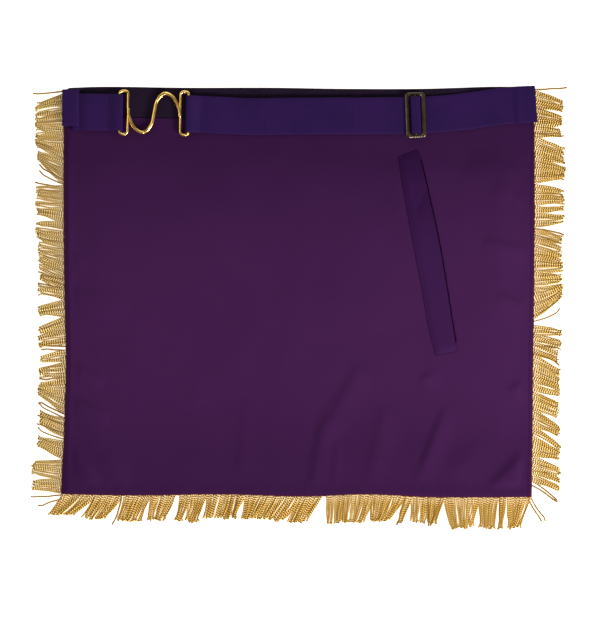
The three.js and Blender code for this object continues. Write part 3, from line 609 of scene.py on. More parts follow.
def math_node(tree, operation, *values):
    """The result of a math node, whose values are numbers or outputs of other nodes."""
    node = add(tree, "Math")
    node.operation = operation
    for socket, value in zip(node.inputs, values):
        feed(tree, socket, value)
    return node.outputs[0]


def noise(tree, size, detail=2, stretch=(1, 1, 1)):
    """Noise whose lumps are about a size in millimetres, stretched along each axis."""
    place = add(tree, "TexCoord").outputs["Object"]
    scaled = add(tree, "Mapping", Vector=place, Scale=[1 / s for s in stretch]).outputs[0]
    return add(tree, "TexNoise", Vector=scaled, Scale=1 / (size * MM), Detail=detail).outputs["Fac"]


def spread(tree, value, low, high, to_low=0, to_high=1):
    """Brings a value's range from low to high onto another range."""
    node = add(tree, "MapRange", Value=value, From_Min=low, From_Max=high, To_Min=to_low, To_Max=to_high)
    return node.outputs["Result"]


def blend(tree, share, first, second):
    """A mix of two colours. A mix node's colours are its inputs 6 and 7 and its output 2."""
    node = add(tree, "Mix")
    node.data_type = "RGBA"
    for i, value in ((0, share), (6, first), (7, second)):
        feed(tree, node.inputs[i], value)
    return node.outputs[2]


def attribute(tree, name):
    node = tree.nodes.new("ShaderNodeAttribute")
    node.attribute_name = name
    return node.outputs["Fac"]


def colour(red, green, blue):
    """A colour from its values in a picture, 0 to 255, as the shader takes it."""
    values = [v / 255 for v in (red, green, blue)]
    return [v / 12.92 if v <= 0.04045 else ((v + 0.055) / 1.055) ** 2.4 for v in values] + [1]


def bump(tree, shader, height, depth, strength=1, under=None):
    """Adds relief of a depth in millimetres to a shader, over any that it is given."""
    node = add(tree, "Bump", Height=height, Distance=depth * MM, Strength=strength)
    if under:
        fill(tree, node, Normal=under)
    fill(tree, shader, Normal=node.outputs[0])
    return node.outputs[0]


def ribs(tree, along, pitch):
    """A wave along a value in millimetres, from 0 to 1."""
    turned = math_node(tree, "MULTIPLY", along, 2 * math.pi / pitch)
    return math_node(tree, "MULTIPLY_ADD", math_node(tree, "SINE", turned), 0.5, 0.5)


def satin(name, dark, light, edge):
    """Woven satin with a soft coloured gloss. Painted shade blends its purple between a shaded and a lit
    copy, and its hems are darker, partly from the front's cloth rolled over and partly from painted shade.
    """
    material, tree, shader = new_material(name, roughness=0.58, specular=0.12)
    patches = math_node(tree, "MULTIPLY", math_node(tree, "SUBTRACT", noise(tree, 60, 3), 0.5), 0.35)
    # Painted shade, varied by random patches, blends the cloth from its shaded to its lit copy
    shade = math_node(tree, "ADD", attribute(tree, "shade"), patches)
    cloth = blend(tree, shade, dark, light)
    # Darker at the hems: the front's cloth rolled over, and painted shade
    cloth = blend(tree, attribute(tree, "hem"), cloth, edge)
    cloth = blend(tree, attribute(tree, "rim"), cloth, RIM_RED)
    fill(tree, shader, Specular_Tint=colour(176, 96, 196), Base_Color=cloth)
    soft = bump(tree, shader, noise(tree, 6, 2), 0.05)
    bump(tree, shader, noise(tree, 0.5, 2, (6, 1, 1)), 0.03, 0.6, soft)
    return material


def woven(name, dark, light, roughness):
    material, tree, shader = new_material(name, roughness, specular=0.1)
    patches = spread(tree, noise(tree, 25, 3), 0.35, 0.65)
    fill(tree, shader, Base_Color=blend(tree, patches, dark, light))
    weave = math_node(tree, "ADD", noise(tree, 0.7, 2, (5, 1, 1)), noise(tree, 0.7, 2, (1, 5, 1)))
    bump(tree, shader, weave, 0.08, 0.7)
    return material


def grosgrain(name, dark, light):
    """Webbing with ribs across its width and closely woven edges."""
    material, tree, shader = new_material(name, roughness=0.6, specular=0.09)
    patches = spread(tree, noise(tree, 40, 3), 0.35, 0.65)
    wave = ribs(tree, attribute(tree, "along"), 1.25)
    ground = blend(tree, patches, dark, light)
    # Painted shade in the grooves between the ribs
    groove = math_node(tree, "MULTIPLY", math_node(tree, "SUBTRACT", 1, wave), 0.28)
    fill(tree, shader, Base_Color=blend(tree, groove, ground, [0.004, 0.001, 0.012, 1]))
    fine = bump(tree, shader, noise(tree, 0.5, 2, (1, 3, 1)), 0.04, 0.6)
    bump(tree, shader, wave, 0.12, 0.8, fine)
    return material


def gold_thread(name):
    """Twisted metallic cord whose tone carries painted light and shade for its side, with painted highlights
    on the ply crests and painted shade at the waists of the twist and in the groove between the plies.
    """
    material, tree, shader = new_material(name, roughness=0.42, metallic=0.25, specular=0.25)
    # Painted shade at the waists of the twist, from the plies' turn, and between the plies
    wave = math_node(tree, "MULTIPLY_ADD", math_node(tree, "COSINE", attribute(tree, "turn")), -0.5, 0.5)
    depth = math_node(tree, "ADD", math_node(tree, "POWER", wave, 1.5), attribute(tree, "groove"))
    uneven = math_node(tree, "MULTIPLY", noise(tree, 1.2, 2), 0.5)
    tone = spread(tree, math_node(tree, "ADD", attribute(tree, "tone"), uneven), 0.25, 1.25)
    warm = blend(tree, tone, colour(217, 172, 76), colour(242, 218, 152))
    pale = blend(tree, attribute(tree, "root"), warm, colour(250, 230, 194))
    # Painted highlight where a ply's crest is
    crest = math_node(tree, "MULTIPLY", spread(tree, depth, 0.3, 0), 0.6)
    lit = blend(tree, crest, pale, colour(252, 244, 210))
    # Painted shade in the groove between the plies; the tape and stray cords are darker in their own colour
    thread = blend(tree, spread(tree, depth, 0.37, 0.78), lit, colour(92, 55, 10))
    fill(tree, shader, Specular_Tint=colour(250, 204, 124), Base_Color=thread)
    bump(tree, shader, noise(tree, 0.3, 2), 0.08, 0.7)
    return material


def polished(name, base, worn, roughness, metallic=1):
    """Polished metal with faint wear and handling marks. Metal under old lacquer is less metallic."""
    material, tree, shader = new_material(name, roughness, metallic)
    marks = spread(tree, noise(tree, 6, 4), 0.4, 0.7)
    rough = spread(tree, noise(tree, 3, 4), 0, 1, roughness * 0.8, roughness * 1.5)
    fill(tree, shader, Base_Color=blend(tree, marks, base, worn), Roughness=rough)
    bump(tree, shader, noise(tree, 1.5, 3), 0.02, 0.5)
    return material


RIM_RED = colour(64, 18, 22)
# The first two colours of each satin are its shaded and lit copies, blended by painted shade; the third is
# its darker hem colour
SATIN = satin("lining_satin", colour(43, 17, 50), colour(57, 25, 63), colour(33, 9, 39))
WELT_SATIN = satin("welt_satin", colour(37, 13, 48), colour(47, 20, 58), colour(26, 5, 34))
FRONT_CLOTH = woven("front_cloth", colour(40, 8, 46), colour(48, 11, 54), 0.8)
BAND_CLOTH = woven("band_cloth", colour(18, 7, 24), colour(24, 10, 30), 0.85)
WEBBING = grosgrain("belt_webbing", colour(32, 8, 59), colour(39, 11, 65))
GOLD_CORD = gold_thread("gold_cord")
BRONZE = polished("bronze_metal", colour(57, 46, 31), colour(75, 61, 43), 0.2, metallic=0.6)
GOLD = polished("gold_metal", colour(222, 176, 84), colour(240, 204, 130), 0.2)


def finished(piece, node, material):
    """Puts a piece in place of its solid, on the apron's body, in its material."""
    piece.data.materials.clear()
    piece.data.materials.append(material)
    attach(piece, BODY)
    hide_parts(node)


# Panel, lining and band

def corner_cut(x, y, across):
    """The upper left corner is folded off at a slant."""
    return np.minimum(y, top_y(across) - np.maximum(0, CORNER_CUT - (x - x_at(0))))


def front_panel():
    across = shares(PANEL_WIDTH, PANEL_STEP, ROUND_EDGE)[None, :]
    down = shares(PANEL_HEIGHT, PANEL_STEP, ROUND_EDGE)[:, None]
    x, y = panel_point(across, down)
    y = corner_cut(x, y, across)
    half = FRONT_THICK / 2
    rounded_edge = roundness(np.minimum(to_ends(across, PANEL_WIDTH), to_ends(down, PANEL_HEIGHT)), half)
    piece = slab("apron_front", x, y, half * (1 - rounded_edge), half * (1 + rounded_edge))
    finished(piece, "front_panel", FRONT_CLOTH)


def welt_point(along, over, beyond=0):
    """A place on the welt, from its top end down and from its left side to the mouth on its right."""
    side = mix(welt_left(along), welt_right(along), over) * WELT_WIDTH + beyond
    up = (0.5 - along) * WELT_LENGTH + WELT_TOP_SLANT * side * np.maximum(0, 1 - 2 * along)
    x = x_at(WELT_ACROSS) - up * math.sin(WELT_LEAN) + side * math.cos(WELT_LEAN)
    y = y_at(WELT_DOWN) + up * math.cos(WELT_LEAN) + side * math.sin(WELT_LEAN)
    return x, y


def pocket_mouth():
    """What is cut out of the lining along the welt's right side."""
    end = MOUTH_END / WELT_LENGTH
    along = np.linspace(end, 1 - end, 60)[:, None]
    x, y = welt_point(along, 1, np.array([[-MOUTH_UNDER, MOUTH_BESIDE]]))
    return slab("mouth", x, y, FRONT_THICK, BORDER_TOP + FOLD_HEIGHT * 4)


def lining_shade(across, down):
    """Painted light and shade on the lining's purple: darker under the belt and at the bottom, lighter on the
    right.
    """
    shade = SHADE_BELOW_BELT * smooth(down, 0.08, 0.45)
    shade = shade + SHADE_ON_RIGHT * smooth(across, 0.5, 1) * smooth(down, 0.15, 0.4)
    return shade + SHADE_AT_BOTTOM * smooth(down, 0.7, 1)


def lining_panel():
    start = (BAND_HEIGHT + GAP) / PANEL_HEIGHT
    length = PANEL_HEIGHT * (1 - start)
    across = shares(PANEL_WIDTH, LINING_STEP, LINING_EDGE)[None, :]
    down = start + shares(length, LINING_STEP, LINING_EDGE)[:, None] * (1 - start)
    x, y = panel_point(across, down)
    edge = np.maximum(from_edge(x, y), 0)
    side = np.minimum(x - left_x(down), right_x(down) - x)
    stitched = np.exp(-((side - STITCH_INSET) / STITCH_WIDTH) ** 2) * smooth(edge, 0, RIM)
    roll = EDGE_DROP * (1 - np.sqrt(1 - (1 - np.clip(edge / EDGE_ROLL, 0, 1)) ** 2))
    rounded_edge = roundness(np.minimum(edge, (down - start) * PANEL_HEIGHT), LINING_THICK / 2)
    half = LINING_THICK / 2 * rounded_edge
    middle = lining_top(x, y) - LINING_THICK / 2 - roll * rounded_edge - STITCH_DEPTH * stitched
    inside = smooth(side, STITCH_INSET - 0.5, STITCH_INSET + 0.5)
    # Its hems are darker, partly the front's cloth rolled over and partly painted shade, deeper on the left
    # and along the stitch line; its purple carries painted light and shade
    piece = slab(
        "apron_lining", x, y, np.maximum(middle - half, BORDER_BOTTOM - GAP), middle + half,
        hem=mix(*HEM_SHADE, smooth(across, 0, 1)) * (1 - inside) + STITCH_SHADE * stitched,
        rim=1 - smooth(edge, 0.2, RIM),
        shade=lining_shade(across, down),
    )
    combined(piece, "DIFFERENCE", pocket_mouth())
    finished(piece, "lining_panel", SATIN)


def top_band():
    across = shares(PANEL_WIDTH, 3, ROUND_EDGE)[None, :]
    down = (shares(BAND_HEIGHT, 2, ROUND_EDGE) * BAND_HEIGHT / PANEL_HEIGHT)[:, None]
    x, y = panel_point(across, down)
    y = corner_cut(x, y, across)
    side = to_ends(across, PANEL_WIDTH)
    from_top = down * PANEL_HEIGHT
    edge = np.minimum(side, np.minimum(from_top, BAND_HEIGHT - from_top))
    bottom = mix(BORDER_BOTTOM, TAPE_BOTTOM, smooth(side, TAPE_WIDTH, TAPE_WIDTH + 2 * GAP))
    wave = BAND_WAVE * ripples(x, y, BAND_WAVE_SIZE, seed=6) * roundness(edge, HEM)
    middle = (bottom + BORDER_TOP) / 2
    half = (BORDER_TOP - bottom) / 2 * roundness(edge, LINING_THICK)
    piece = slab("waist_band", x, y, middle - half, middle + half + wave)
    finished(piece, "top_band", BAND_CLOTH)


# Pocket

def welt_height(along, over):
    """The height of the welt's underside above the lining: sewn down on the left and open on the right."""
    lift = WELT_LIFT * over ** 2 * np.sin(math.pi * along)
    inward = np.minimum(over * WELT_WIDTH, to_ends(along, WELT_LENGTH))
    sewn = mix(WELT_SEWN, 2 * GAP, smooth(inward, 1, 8))
    from_dimple = (along - DIMPLE_AT - DIMPLE_SLANT * (0.5 - over)) / DIMPLE_WIDTH
    dimple = DIMPLE_DEPTH * np.exp(-from_dimple ** 2) * smooth(over, 0.15, 0.45)
    return np.maximum(sewn + lift - dimple, WELT_LOWEST)


def pocket_welt():
    along = shares(WELT_LENGTH, 1.5, WELT_EDGE)[:, None]
    over = shares(WELT_WIDTH, 1.3, WELT_EDGE)[None, :]
    x, y = welt_point(along, over)
    inward = over * WELT_WIDTH
    side = to_ends(over, WELT_WIDTH)
    end = to_ends(along, WELT_LENGTH)
    rounded_edge = roundness(np.minimum(side, end), WELT_THICK / 2)
    half = WELT_THICK / 2 * rounded_edge
    sewn = WELT_STITCH_DEPTH * np.exp(-((inward - WELT_STITCH_AT) / WELT_STITCH_WIDTH) ** 2)
    puckers = WELT_PUCKER * ripples(x, y, WELT_PUCKER_SIZE, seed=8) * np.exp(-inward / WELT_PUCKER_REACH)
    middle = lining_top(x, y) + welt_height(along, over) + WELT_THICK / 2 + puckers
    pressed = WELT_PRESSED * (1 - smooth(np.minimum(inward, end), 0, WELT_PRESSED_REACH))
    # Painted shade: the welt is darker along its edges and towards its top end
    piece = slab(
        "pocket_strip", x, y, middle - half, middle + half - sewn * (1 - pressed) - pressed * rounded_edge,
        hem=WELT_HEM_SHADE * (1 - smooth(side, 0.3, RIM)), shade=smooth(along, 0, 0.6),
    )
    finished(piece, "pocket_welt", WELT_SATIN)


# Fringe

# Each side's tone is painted light and shade: its cords are lighter or darker as the light falls on that side
SIDES = {
    "left": {
        "length": PANEL_HEIGHT,
        "locks": LEFT_LOCKS,
        "strays": LEFT_STRAYS,
        "ends": (TAPE_START, 1 + bottom_out(0)),
        "mitres": (0, 1),
        "tone": 0.1,
        "point": lambda along, out: (left_x(along) - out, y_at(along)),
    },
    "bottom": {
        "length": PANEL_WIDTH,
        "locks": BOTTOM_LOCKS,
        "strays": BOTTOM_STRAYS,
        "ends": (-left_out(1), 1 + right_out(1)),
        "mitres": (-1, 1),
        "tone": -0.42,
        "point": lambda along, out: (x_at(along), bottom_y(along) - out),
    },
    "right": {
        "length": PANEL_HEIGHT,
        "locks": RIGHT_LOCKS,
        "strays": RIGHT_STRAYS,
        "ends": (TAPE_START, 1 + bottom_out(1)),
        "mitres": (0, 1),
        "tone": -0.15,
        "point": lambda along, out: (right_x(along) + out, y_at(along)),
    },
}


def heading(name, side):
    """The tape that holds the cords in the seam."""
    width = TAPE_WIDTH + TAPE_SHOWS
    across = shares(width, 2, TAPE_EDGE)[:, None]
    out = -TAPE_WIDTH + across * (TAPE_WIDTH + TAPE_SHOWS / 2)
    slant = (out - GAP) / side["length"]
    first, last = (end + mitre * slant for end, mitre in zip(side["ends"], side["mitres"]))
    places = shares(side["length"], 4, TAPE_EDGE)[None, :]
    x, y = side["point"](mix(first, last, places), out)
    edge = np.minimum(to_ends(across, width), to_ends(places, side["length"]))
    half = TAPE_THICK / 2 * roundness(edge, TAPE_THICK / 2)
    middle = (TAPE_BOTTOM + TAPE_TOP) / 2
    return slab(name, x, y, middle - half, middle + half, tone=0, turn=0, groove=1, root=0)


def thousandths(rows):
    return (np.array(rows) / 1000).tolist()


def cord_table(side, random):
    """One row for each cord: root, tip, reach, sideways bend, level, twist, and whether it is a stray."""
    rows = []
    for root_from, root_to, tip_from, tip_to, reach in thousandths(side["locks"]):
        count = max(3, round(((root_to - root_from) * side["length"] + 2 * ROOT_SPREAD) / CORD_PITCH))
        bundles = max(1, round(count / BUNDLE_CORDS))
        bends = random.normal(0, BUNDLE_BEND, bundles)
        shifts = random.normal(0, BUNDLE_STRAY, bundles)
        reaches = random.uniform(*BUNDLE_REACH, bundles)
        for i in range(count):
            bundle = i * bundles // count
            share = (i + 0.5) / count
            root = mix(root_from, root_to, share + random.uniform(-ROOT_STRAY, ROOT_STRAY) / count)
            root += ROOT_SPREAD * (2 * share - 1) / side["length"]
            shift = shifts[bundle] + random.normal(0, CORD_STRAY)
            tip = mix(tip_from, tip_to, share) + shift / side["length"]
            own_reach = reach * reaches[bundle] * random.uniform(*CORD_REACH)
            bend = bends[bundle] + random.normal(0, CORD_BEND)
            level = random.choice(LEVELS, p=LEVEL_SHARES)
            twist = i * TWIST_STEP + random.normal(0, TWIST_STRAY)
            rows.append((root, tip, own_reach, bend, level, twist, 0))
    for root, tip, reach in thousandths(side["strays"]):
        twist = random.uniform(0, 2 * math.pi)
        rows.append((root, tip, reach, random.normal(0, BUNDLE_BEND), LEVELS[1], twist, 1))
    return np.array(rows)


def fringe(name):
    side = SIDES[name]
    random = np.random.default_rng(sum(map(ord, name)))
    table = cord_table(side, random)
    root, tip, reach, bend, level, twist, stray = table.T[..., None]
    each = (len(table), 1)

    # Distances out from the edge, closer together at the rounded tip
    last = reach * FRINGE_LENGTH
    body = np.linspace(0, 1, CORD_RINGS - len(TIP_STEPS))[None, :]
    ends = last - TIP_STEPS[None, :]
    out = np.concatenate([mix(CORD_ROOT, ends[:, :1] - BEFORE_TIP, body), ends], 1)
    share = np.clip(out / last, 0, 1)

    # The cord's middle line: it sweeps to its tip, bends and wavers, and drops to the surface
    along = mix(root, tip, share ** LOCK_SWEEP)
    waver = random.uniform(*WAVER, each) * share
    waver *= np.sin(out / random.uniform(*WAVER_LENGTH, each) + random.uniform(*WAVER_PHASE, each))
    hook = random.normal(0, CORD_HOOK, each) * smooth(out, last - CORD_HOOK_LENGTH, last)
    along += (bend * np.sin(math.pi * share) + waver + hook) / side["length"]
    lift = random.uniform(*CORD_LIFT, each) * share
    on_floor = CORD_RADIUS * (LOWEST_LEVEL + LEVEL_STEP * level) + lift
    in_seam = (TAPE_BOTTOM + TAPE_TOP) / 2 + SEAM_STEP * level
    x, y = side["point"](along, out)
    line = np.stack([x, y, mix(in_seam, on_floor, smooth(out, 0, CORD_DROP))], -1)

    # The section of two plies turns round that line
    ahead, beside = directions(line)
    upward = np.cross(ahead, beside)
    gone = gone_along(line)
    from_tip = gone[:, -1:] - gone
    knob = 1 + TIP_KNOB * np.exp(-((from_tip - TIP_KNOB_AT) / TIP_ROUND) ** 2)
    knob = roundness(from_tip, TIP_ROUND) * knob
    sixths, shares_out, depths = np.array(CORD_SECTION, float).T
    angle = (2 * math.pi * gone / CORD_TURN + twist)[..., None] + sixths * math.pi / 3
    radius = (CORD_RADIUS * random.uniform(*CORD_THICKNESS, each) * knob)[..., None] * shares_out
    rings = (
        line[:, :, None]
        + (radius * np.cos(angle))[..., None] * beside[:, :, None]
        + (radius * np.sin(angle))[..., None] * upward[:, :, None]
    )
    rings[..., 2] = np.maximum(rings[..., 2], FLOOR_CLEAR)
    # A cord's tone: its own, varied at random and lower for strays, plus its side's painted light and shade
    tone = CORD_TONE + side["tone"] + random.normal(0, TONE_SPREAD, each) + STRAY_TONE * stray
    cords = tubes(
        "cords_" + name, rings,
        tone=np.clip(tone, 0, 1)[..., None],
        turn=2 * angle[..., :1],
        groove=PLY_GROOVE * depths + STRAY_GROOVE * stray[..., None],
        root=ROOT_PALE * (1 - smooth(out, 0, ROOT_PALE_LENGTH))[..., None],
    )
    piece = joined("fringe_cords_" + name, [cords, heading("heading_" + name, side)])
    finished(piece, "fringe_" + name, GOLD_CORD)


def joined(name, things):
    """Puts several meshes into one piece."""
    first = things[0]
    chosen = {"active_object": first, "selected_objects": things, "selected_editable_objects": things}
    with bpy.context.temp_override(**chosen):
        bpy.ops.object.join()
    first.name = name
    first.data.name = name
    return first


# Belt

def turn(x, from_z, to_z, bulge, steps=14):
    """A half turn of webbing from one layer to another, to the left (-1) or to the right (1)."""
    angle = np.linspace(0, math.pi, steps + 1)
    middle = (from_z + to_z) / 2
    reach = bulge * abs(to_z - from_z) / 2
    return np.stack([x + reach * np.sin(angle), middle + (from_z - middle) * np.cos(angle)], 1)


def rounded(corners, cut=BELT_THICK, steps=6):
    """A path through corner points with each corner rounded by a short curve."""
    corners = np.array(corners, float)
    points = [corners[0]]
    for before, corner, after in zip(corners, corners[1:], corners[2:]):
        back, onward = before - corner, after - corner
        far_back, far_onward = np.linalg.norm(back), np.linalg.norm(onward)
        reach = min(cut, far_back * 0.48, far_onward * 0.48)
        start = corner + back * reach / far_back
        end = corner + onward * reach / far_onward
        for t in np.linspace(0, 1, steps + 1):
            points.append((1 - t) ** 2 * start + 2 * t * (1 - t) * corner + t * t * end)
    return np.array(points + [corners[-1]])


def divided(points, step=4):
    """A path whose long stretches are divided into steps."""
    pieces = [points[:1]]
    for before, after in zip(points, points[1:]):
        cells = max(1, math.ceil(np.linalg.norm(after - before) / step))
        pieces.append(before + (after - before) * np.linspace(0, 1, cells + 1)[1:, None])
    return np.concatenate(pieces)


def webbing_section():
    """Half of the webbing's section and its mirror: across its width and through its thickness."""
    half_width, half_thick = BELT_WIDTH / 2, BELT_THICK / 2
    angle = np.linspace(math.pi / 2, -math.pi / 2, 7)[:, None]
    round_side = np.concatenate([
        half_width - half_thick + half_thick * np.cos(angle), half_thick * np.sin(angle)
    ], 1)
    flat = np.linspace(-half_width + half_thick, half_width - half_thick, 15)[1:-1]
    top = np.stack([flat, np.full(len(flat), half_thick)], 1)
    return np.concatenate([top, round_side, -top, -round_side])


def belt_ripple(x, over):
    """The belt isn't quite flat between the places where it is held."""
    held = [x_at(0), x_at(CLASP_AT), x_at(SLIDER_AT), x_at(1)]
    free = np.prod([smooth(np.abs(x - place), 42, 75) for place in held], 0)
    return BELT_RIPPLE * free * ripples(x, over, BELT_RIPPLE_LENGTH, seed=11)


def webbing(name, path, line):
    """Webbing along a path in the x-z plane, with its middle line at line(x) across the apron."""
    points = divided(path)
    x, z = points.T
    middle = np.stack([x, line(x), z], -1)
    ahead = unit(np.concatenate([points[1:], points[-1:]]) - np.concatenate([points[:1], points[:-1]]))
    c, s = np.cos(slope(line, x)), np.sin(slope(line, x))
    wide = np.stack([-s, c, 0 * x], -1)
    thick = np.stack([-ahead[:, 1] * c, -ahead[:, 1] * s, ahead[:, 0]], -1)
    over, through = webbing_section().T
    rings = middle[:, None] + over[:, None] * wide[:, None] + through[:, None] * thick[:, None]
    rings[..., 2] += belt_ripple(rings[..., 0], over[None, :])
    gone = gone_along(points)
    return tubes(name, rings[None], along=gone[None, :, None]), gone[-1]


CLASP_X = x_at(CLASP_AT)
LEFT_BAR_X = CLASP_X - CLASP_LENGTH / 2 + CLASP_WIRE / 2
RIGHT_BAR_X = CLASP_X + CLASP_LENGTH / 2 - CLASP_WIRE / 2
BELT_LEFT = x_at(0) - BELT_OVERHANG
BELT_RIGHT = x_at(1) + BELT_OVERHANG
TURN_RADIUS = LAYER_STEP / 2
TAB_FOLD = BELT_LEFT + TURN_RADIUS + BELT_THICK / 2
TAB_END = BELT_LEFT + TAB_LENGTH


def belt_piece(name, node, path, line):
    piece, length = webbing(name, path, line)
    finished(piece, node, WEBBING)


def belt_tab():
    path = np.concatenate([
        [(TAB_FOLD + TAB_TAIL, FIRST_LAYER)],
        turn(TAB_FOLD, FIRST_LAYER, SECOND_LAYER, -1),
        [(TAB_END, SECOND_LAYER)],
    ])
    belt_piece("tab_webbing", "belt_tab", path, tab_y)


def belt_loop():
    ring_side = LEFT_BAR_X + GAP
    path = np.concatenate([
        rounded([
            (TAB_FOLD + TAB_TAIL + 2 * GAP, FIRST_LAYER),
            (TAB_END + BELT_THICK, FIRST_LAYER),
            (TAB_END + BELT_THICK + SLOPE_RUN, SECOND_LAYER),
            (LEFT_BAR_X - 2 * SLOPE_RUN, SECOND_LAYER),
            (LEFT_BAR_X - SLOPE_RUN / 2, OVER_RING),
            (ring_side - GAP / 2, OVER_RING),
        ]),
        turn(ring_side, OVER_RING, FIRST_LAYER, 1),
        [(TAB_END + 3 * BELT_THICK + SLOPE_RUN, FIRST_LAYER)],
    ])
    belt_piece("loop_webbing", "belt_loop", path, belt_y)


def belt_strap():
    fold = BELT_RIGHT - TURN_RADIUS - BELT_THICK / 2
    tail_end = fold - TURNED_END
    slider = x_at(SLIDER_AT)
    inner_run = SLIDER_MIDDLE_BAR / 2 + GAP + BELT_THICK / 2
    outer_run = inner_run + LAYER_STEP
    ring_side = RIGHT_BAR_X - GAP
    path = np.concatenate([
        [(tail_end, FIRST_LAYER)],
        turn(fold, FIRST_LAYER, SECOND_LAYER, 1),
        rounded([
            (tail_end + SLOPE_RUN / 2, SECOND_LAYER),
            (tail_end - GAP, SECOND_LAYER),
            (tail_end - SLOPE_RUN, FIRST_LAYER),
            (slider + outer_run, FIRST_LAYER),
            (slider + outer_run, STRAP_OVER_BAR),
            (slider - outer_run, STRAP_OVER_BAR),
            (slider - outer_run, SECOND_LAYER),
            (RIGHT_BAR_X + 2 * SLOPE_RUN, SECOND_LAYER),
            (RIGHT_BAR_X + SLOPE_RUN / 2, OVER_RING),
            (ring_side + GAP / 2, OVER_RING),
        ]),
        turn(ring_side, OVER_RING, FIRST_LAYER, -1),
        rounded([
            (ring_side + GAP / 2, FIRST_LAYER),
            (slider - inner_run, FIRST_LAYER),
            (slider - inner_run, FOLD_OVER_BAR),
            (slider + inner_run, FOLD_OVER_BAR),
            (slider + inner_run, SECOND_LAYER),
            (slider - SLIDER_MIDDLE_BAR / 4, SECOND_LAYER),
        ]),
    ])
    belt_piece("strap_webbing", "belt_strap", path, belt_y)


# Slider and clasp

def rounded_rectangle(width, height, radius, arc_steps=10):
    """Points round a rounded rectangle, and the way out at each of them."""
    points, ways = [], []
    corners = [(1, 1), (-1, 1), (-1, -1), (1, -1)]
    for i, (sx, sy) in enumerate(corners):
        centre = np.array([sx * (width / 2 - radius), sy * (height / 2 - radius)])
        for t in np.linspace(0, math.pi / 2, arc_steps + 1):
            way = np.array([math.cos(t + i * math.pi / 2), math.sin(t + i * math.pi / 2)])
            points.append(centre + radius * way)
            ways.append(way)
    return np.array(points), np.array(ways)


def section(sides, squareness):
    """A round section made squarer by a power, with half sizes of 1."""
    angle = np.linspace(0, 2 * math.pi, sides, endpoint=False)
    c, s = np.cos(angle), np.sin(angle)
    return np.sign(c) * np.abs(c) ** squareness, np.sign(s) * np.abs(s) ** squareness


def bevelled():
    """A section with flat bevels and softened corners, with half sizes of 1."""
    up, flat = SLIDER_BEVEL
    quarter = [(1, -up), (1, up), (flat, 1)]
    corners = quarter + [(-flat, 1), (-1, up), (-1, -up), (-flat, -1), (flat, -1), (1, -up), (1, up)]
    points = rounded(corners, cut=0.12, steps=3)
    return points[1:-1].T


def frame_loop(name, width, height, radius, side_bar, end_bar, thick, profile, middle=0):
    """A metal frame whose bars have a section, about a middle on the x axis, from its underside up."""
    points, ways = rounded_rectangle(width, height, radius)
    points[:, 0] += middle
    bar = mix(end_bar, side_bar, np.abs(ways[:, :1]) ** 2) / 2
    over, up = profile
    flat = points[:, None] - ways[:, None] * bar[:, None] * (1 - over[None, :, None])
    height_up = thick / 2 * (1 + np.broadcast_to(up, flat.shape[:2]))
    return loop(name, np.concatenate([flat, height_up[..., None]], -1))


def bar_along(name, line, half_wide, half_thick, squareness=1, sides=16):
    """A rounded bar or wire along a line of points, closed by rounded ends."""
    line = np.array(line, float)
    beside = directions(line)[1]
    gone = gone_along(line)
    size = roundness(np.minimum(gone, gone[-1] - gone), half_wide)[:, None, None]
    over, up = section(sides, squareness)
    offset = half_wide * over[:, None] * beside[:, None] + np.array([0, 0, half_thick]) * up[:, None]
    return tubes(name, (line[:, None] + size * offset)[None])


def on_belt(piece, x, z):
    """Moves a metal piece's mesh onto the belt's middle line, turned as the belt runs."""
    place = Matrix.Translation((x * MM, belt_y(x) * MM, z * MM))
    piece.data.transform(place @ Matrix.Rotation(slope(belt_y, x), 4, "Z"))


def belt_slider():
    slot = 2 * LAYER_STEP + SLOT_SPARE
    opening = BELT_WIDTH + 2 * SLIDER_PLAY
    width = 2 * SLIDER_SIDE_BAR + 2 * slot + SLIDER_MIDDLE_BAR
    height = opening + 2 * SLIDER_END_BAR
    piece = frame_loop(
        "slider_frame", width, height, SLIDER_CORNER, SLIDER_SIDE_BAR, SLIDER_END_BAR, SLIDER_THICK,
        bevelled(),
    )
    reach = opening / 2 + SLIDER_END_BAR / 2
    half = SLIDER_THICK / 2
    line = [(0, y, half) for y in np.linspace(-reach, reach, 40)]
    combined(piece, "UNION", bar_along("slider_bar", line, SLIDER_MIDDLE_BAR / 2, half * 0.9, 0.8))
    on_belt(piece, x_at(SLIDER_AT), SLIDER_BOTTOM)
    finished(piece, "belt_slider", BRONZE)


def hook_line(steps=90):
    """A smooth line through the hook's points."""
    points = np.array(HOOK_LINE)
    half_span = CLASP_LENGTH / 2 - RING_DEPTH + CLASP_WIRE / 2
    rows = np.column_stack([np.linspace(0, 1, len(points)), points])
    at = np.linspace(0, 1, steps)
    x = curve_of(rows, 1)(at) * half_span
    y = curve_of(rows, 2)(at) * HOOK_HEIGHT / 2
    return np.stack([x, y, np.full(steps, CLASP_WIRE / 2)], 1)


def belt_clasp():
    height = BELT_WIDTH + 2 * CLASP_PLAY + 2 * CLASP_WIRE
    wires = (CLASP_WIRE, CLASP_WIRE, CLASP_WIRE)
    out = (CLASP_LENGTH - RING_DEPTH) / 2
    piece, other = (
        frame_loop("clasp_ring", RING_DEPTH, height, RING_CORNER, *wires, section(20, 1), middle)
        for middle in (-out, out)
    )
    hook = bar_along("clasp_hook", hook_line(), HOOK_WIRE / 2, HOOK_WIRE / 2)
    combined(piece, "UNION", other, hook)
    piece.name = "clasp_metal"
    on_belt(piece, CLASP_X, CLASP_BOTTOM)
    finished(piece, "belt_clasp", GOLD)


# Floor, light and camera

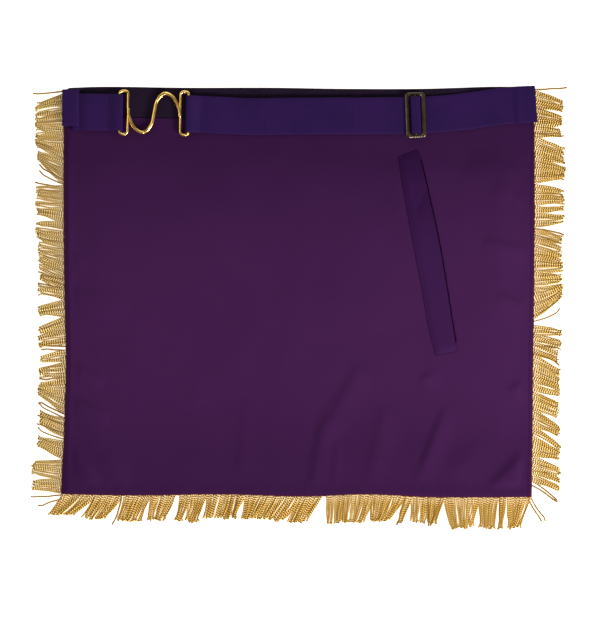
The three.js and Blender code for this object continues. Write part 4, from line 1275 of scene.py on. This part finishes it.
FLOOR_SIZE = 6000
FLOOR_GREY = (0.9, 0.9, 0.9, 1)
FLOOR_GLOW = 0.88
GLOW_COLOUR = (1, 0.95, 0.87, 1)
SKY_STRENGTH = 0.28
VIEW_CENTRE = (0.7, -25.7)
VIEW_HEIGHT = 556
VIEW_DISTANCE = 3000
SENSOR = 36

# Soft lights: name, place, size and power
LIGHTS = [
    ("key", (1400, -1100, 1050), 600, 62),
    ("front", (100, -1300, 1000), 250, 10),
    ("fill", (-1500, 500, 1300), 1200, 9),
    ("back", (200, 1700, 1200), 1200, 9),
]


def floor():
    corners = np.array([(-1, -1, 0), (1, -1, 0), (1, 1, 0), (-1, 1, 0)]) * FLOOR_SIZE / 2
    plane = as_mesh("floor", corners, [(0, 1, 2, 3)])
    material, tree, shader = new_material("floor", 0.9, specular=0.1)
    fill(tree, shader, Base_Color=FLOOR_GREY, Emission_Color=GLOW_COLOUR, Emission_Strength=FLOOR_GLOW)
    plane.data.materials.append(material)


def soft_light(name, place, size, power):
    """A square light that points at the apron's middle."""
    light = bpy.data.lights.new(name, "AREA")
    light.shape = "SQUARE"
    light.size = size * MM
    light.energy = power
    lamp = bpy.data.objects.new(name, light)
    lamp.location = [v * MM for v in place]
    lamp.rotation_euler = lamp.location.to_track_quat("Z", "Y").to_euler()
    bpy.context.scene.collection.objects.link(lamp)


def studio():
    scene = bpy.context.scene
    scene.view_settings.view_transform = "Standard"
    world = bpy.data.worlds.new("studio")
    world.use_nodes = True
    tree = world.node_tree
    fill(tree, tree.nodes["Background"], Color=(1, 1, 1, 1), Strength=SKY_STRENGTH)
    scene.world = world
    for light in LIGHTS:
        soft_light(*light)
    camera = bpy.data.objects.new("camera", bpy.data.cameras.new("camera"))
    camera.data.sensor_width = SENSOR
    camera.data.lens = SENSOR * VIEW_DISTANCE / VIEW_HEIGHT
    camera.location = [v * MM for v in (*VIEW_CENTRE, VIEW_DISTANCE)]
    scene.collection.objects.link(camera)
    scene.camera = camera


floor()
studio()
front_panel()
lining_panel()
top_band()
pocket_welt()
for side_name in SIDES:
    fringe(side_name)
belt_tab()
belt_loop()
belt_strap()
belt_slider()
belt_clasp()

bpy.context.view_layer.update()
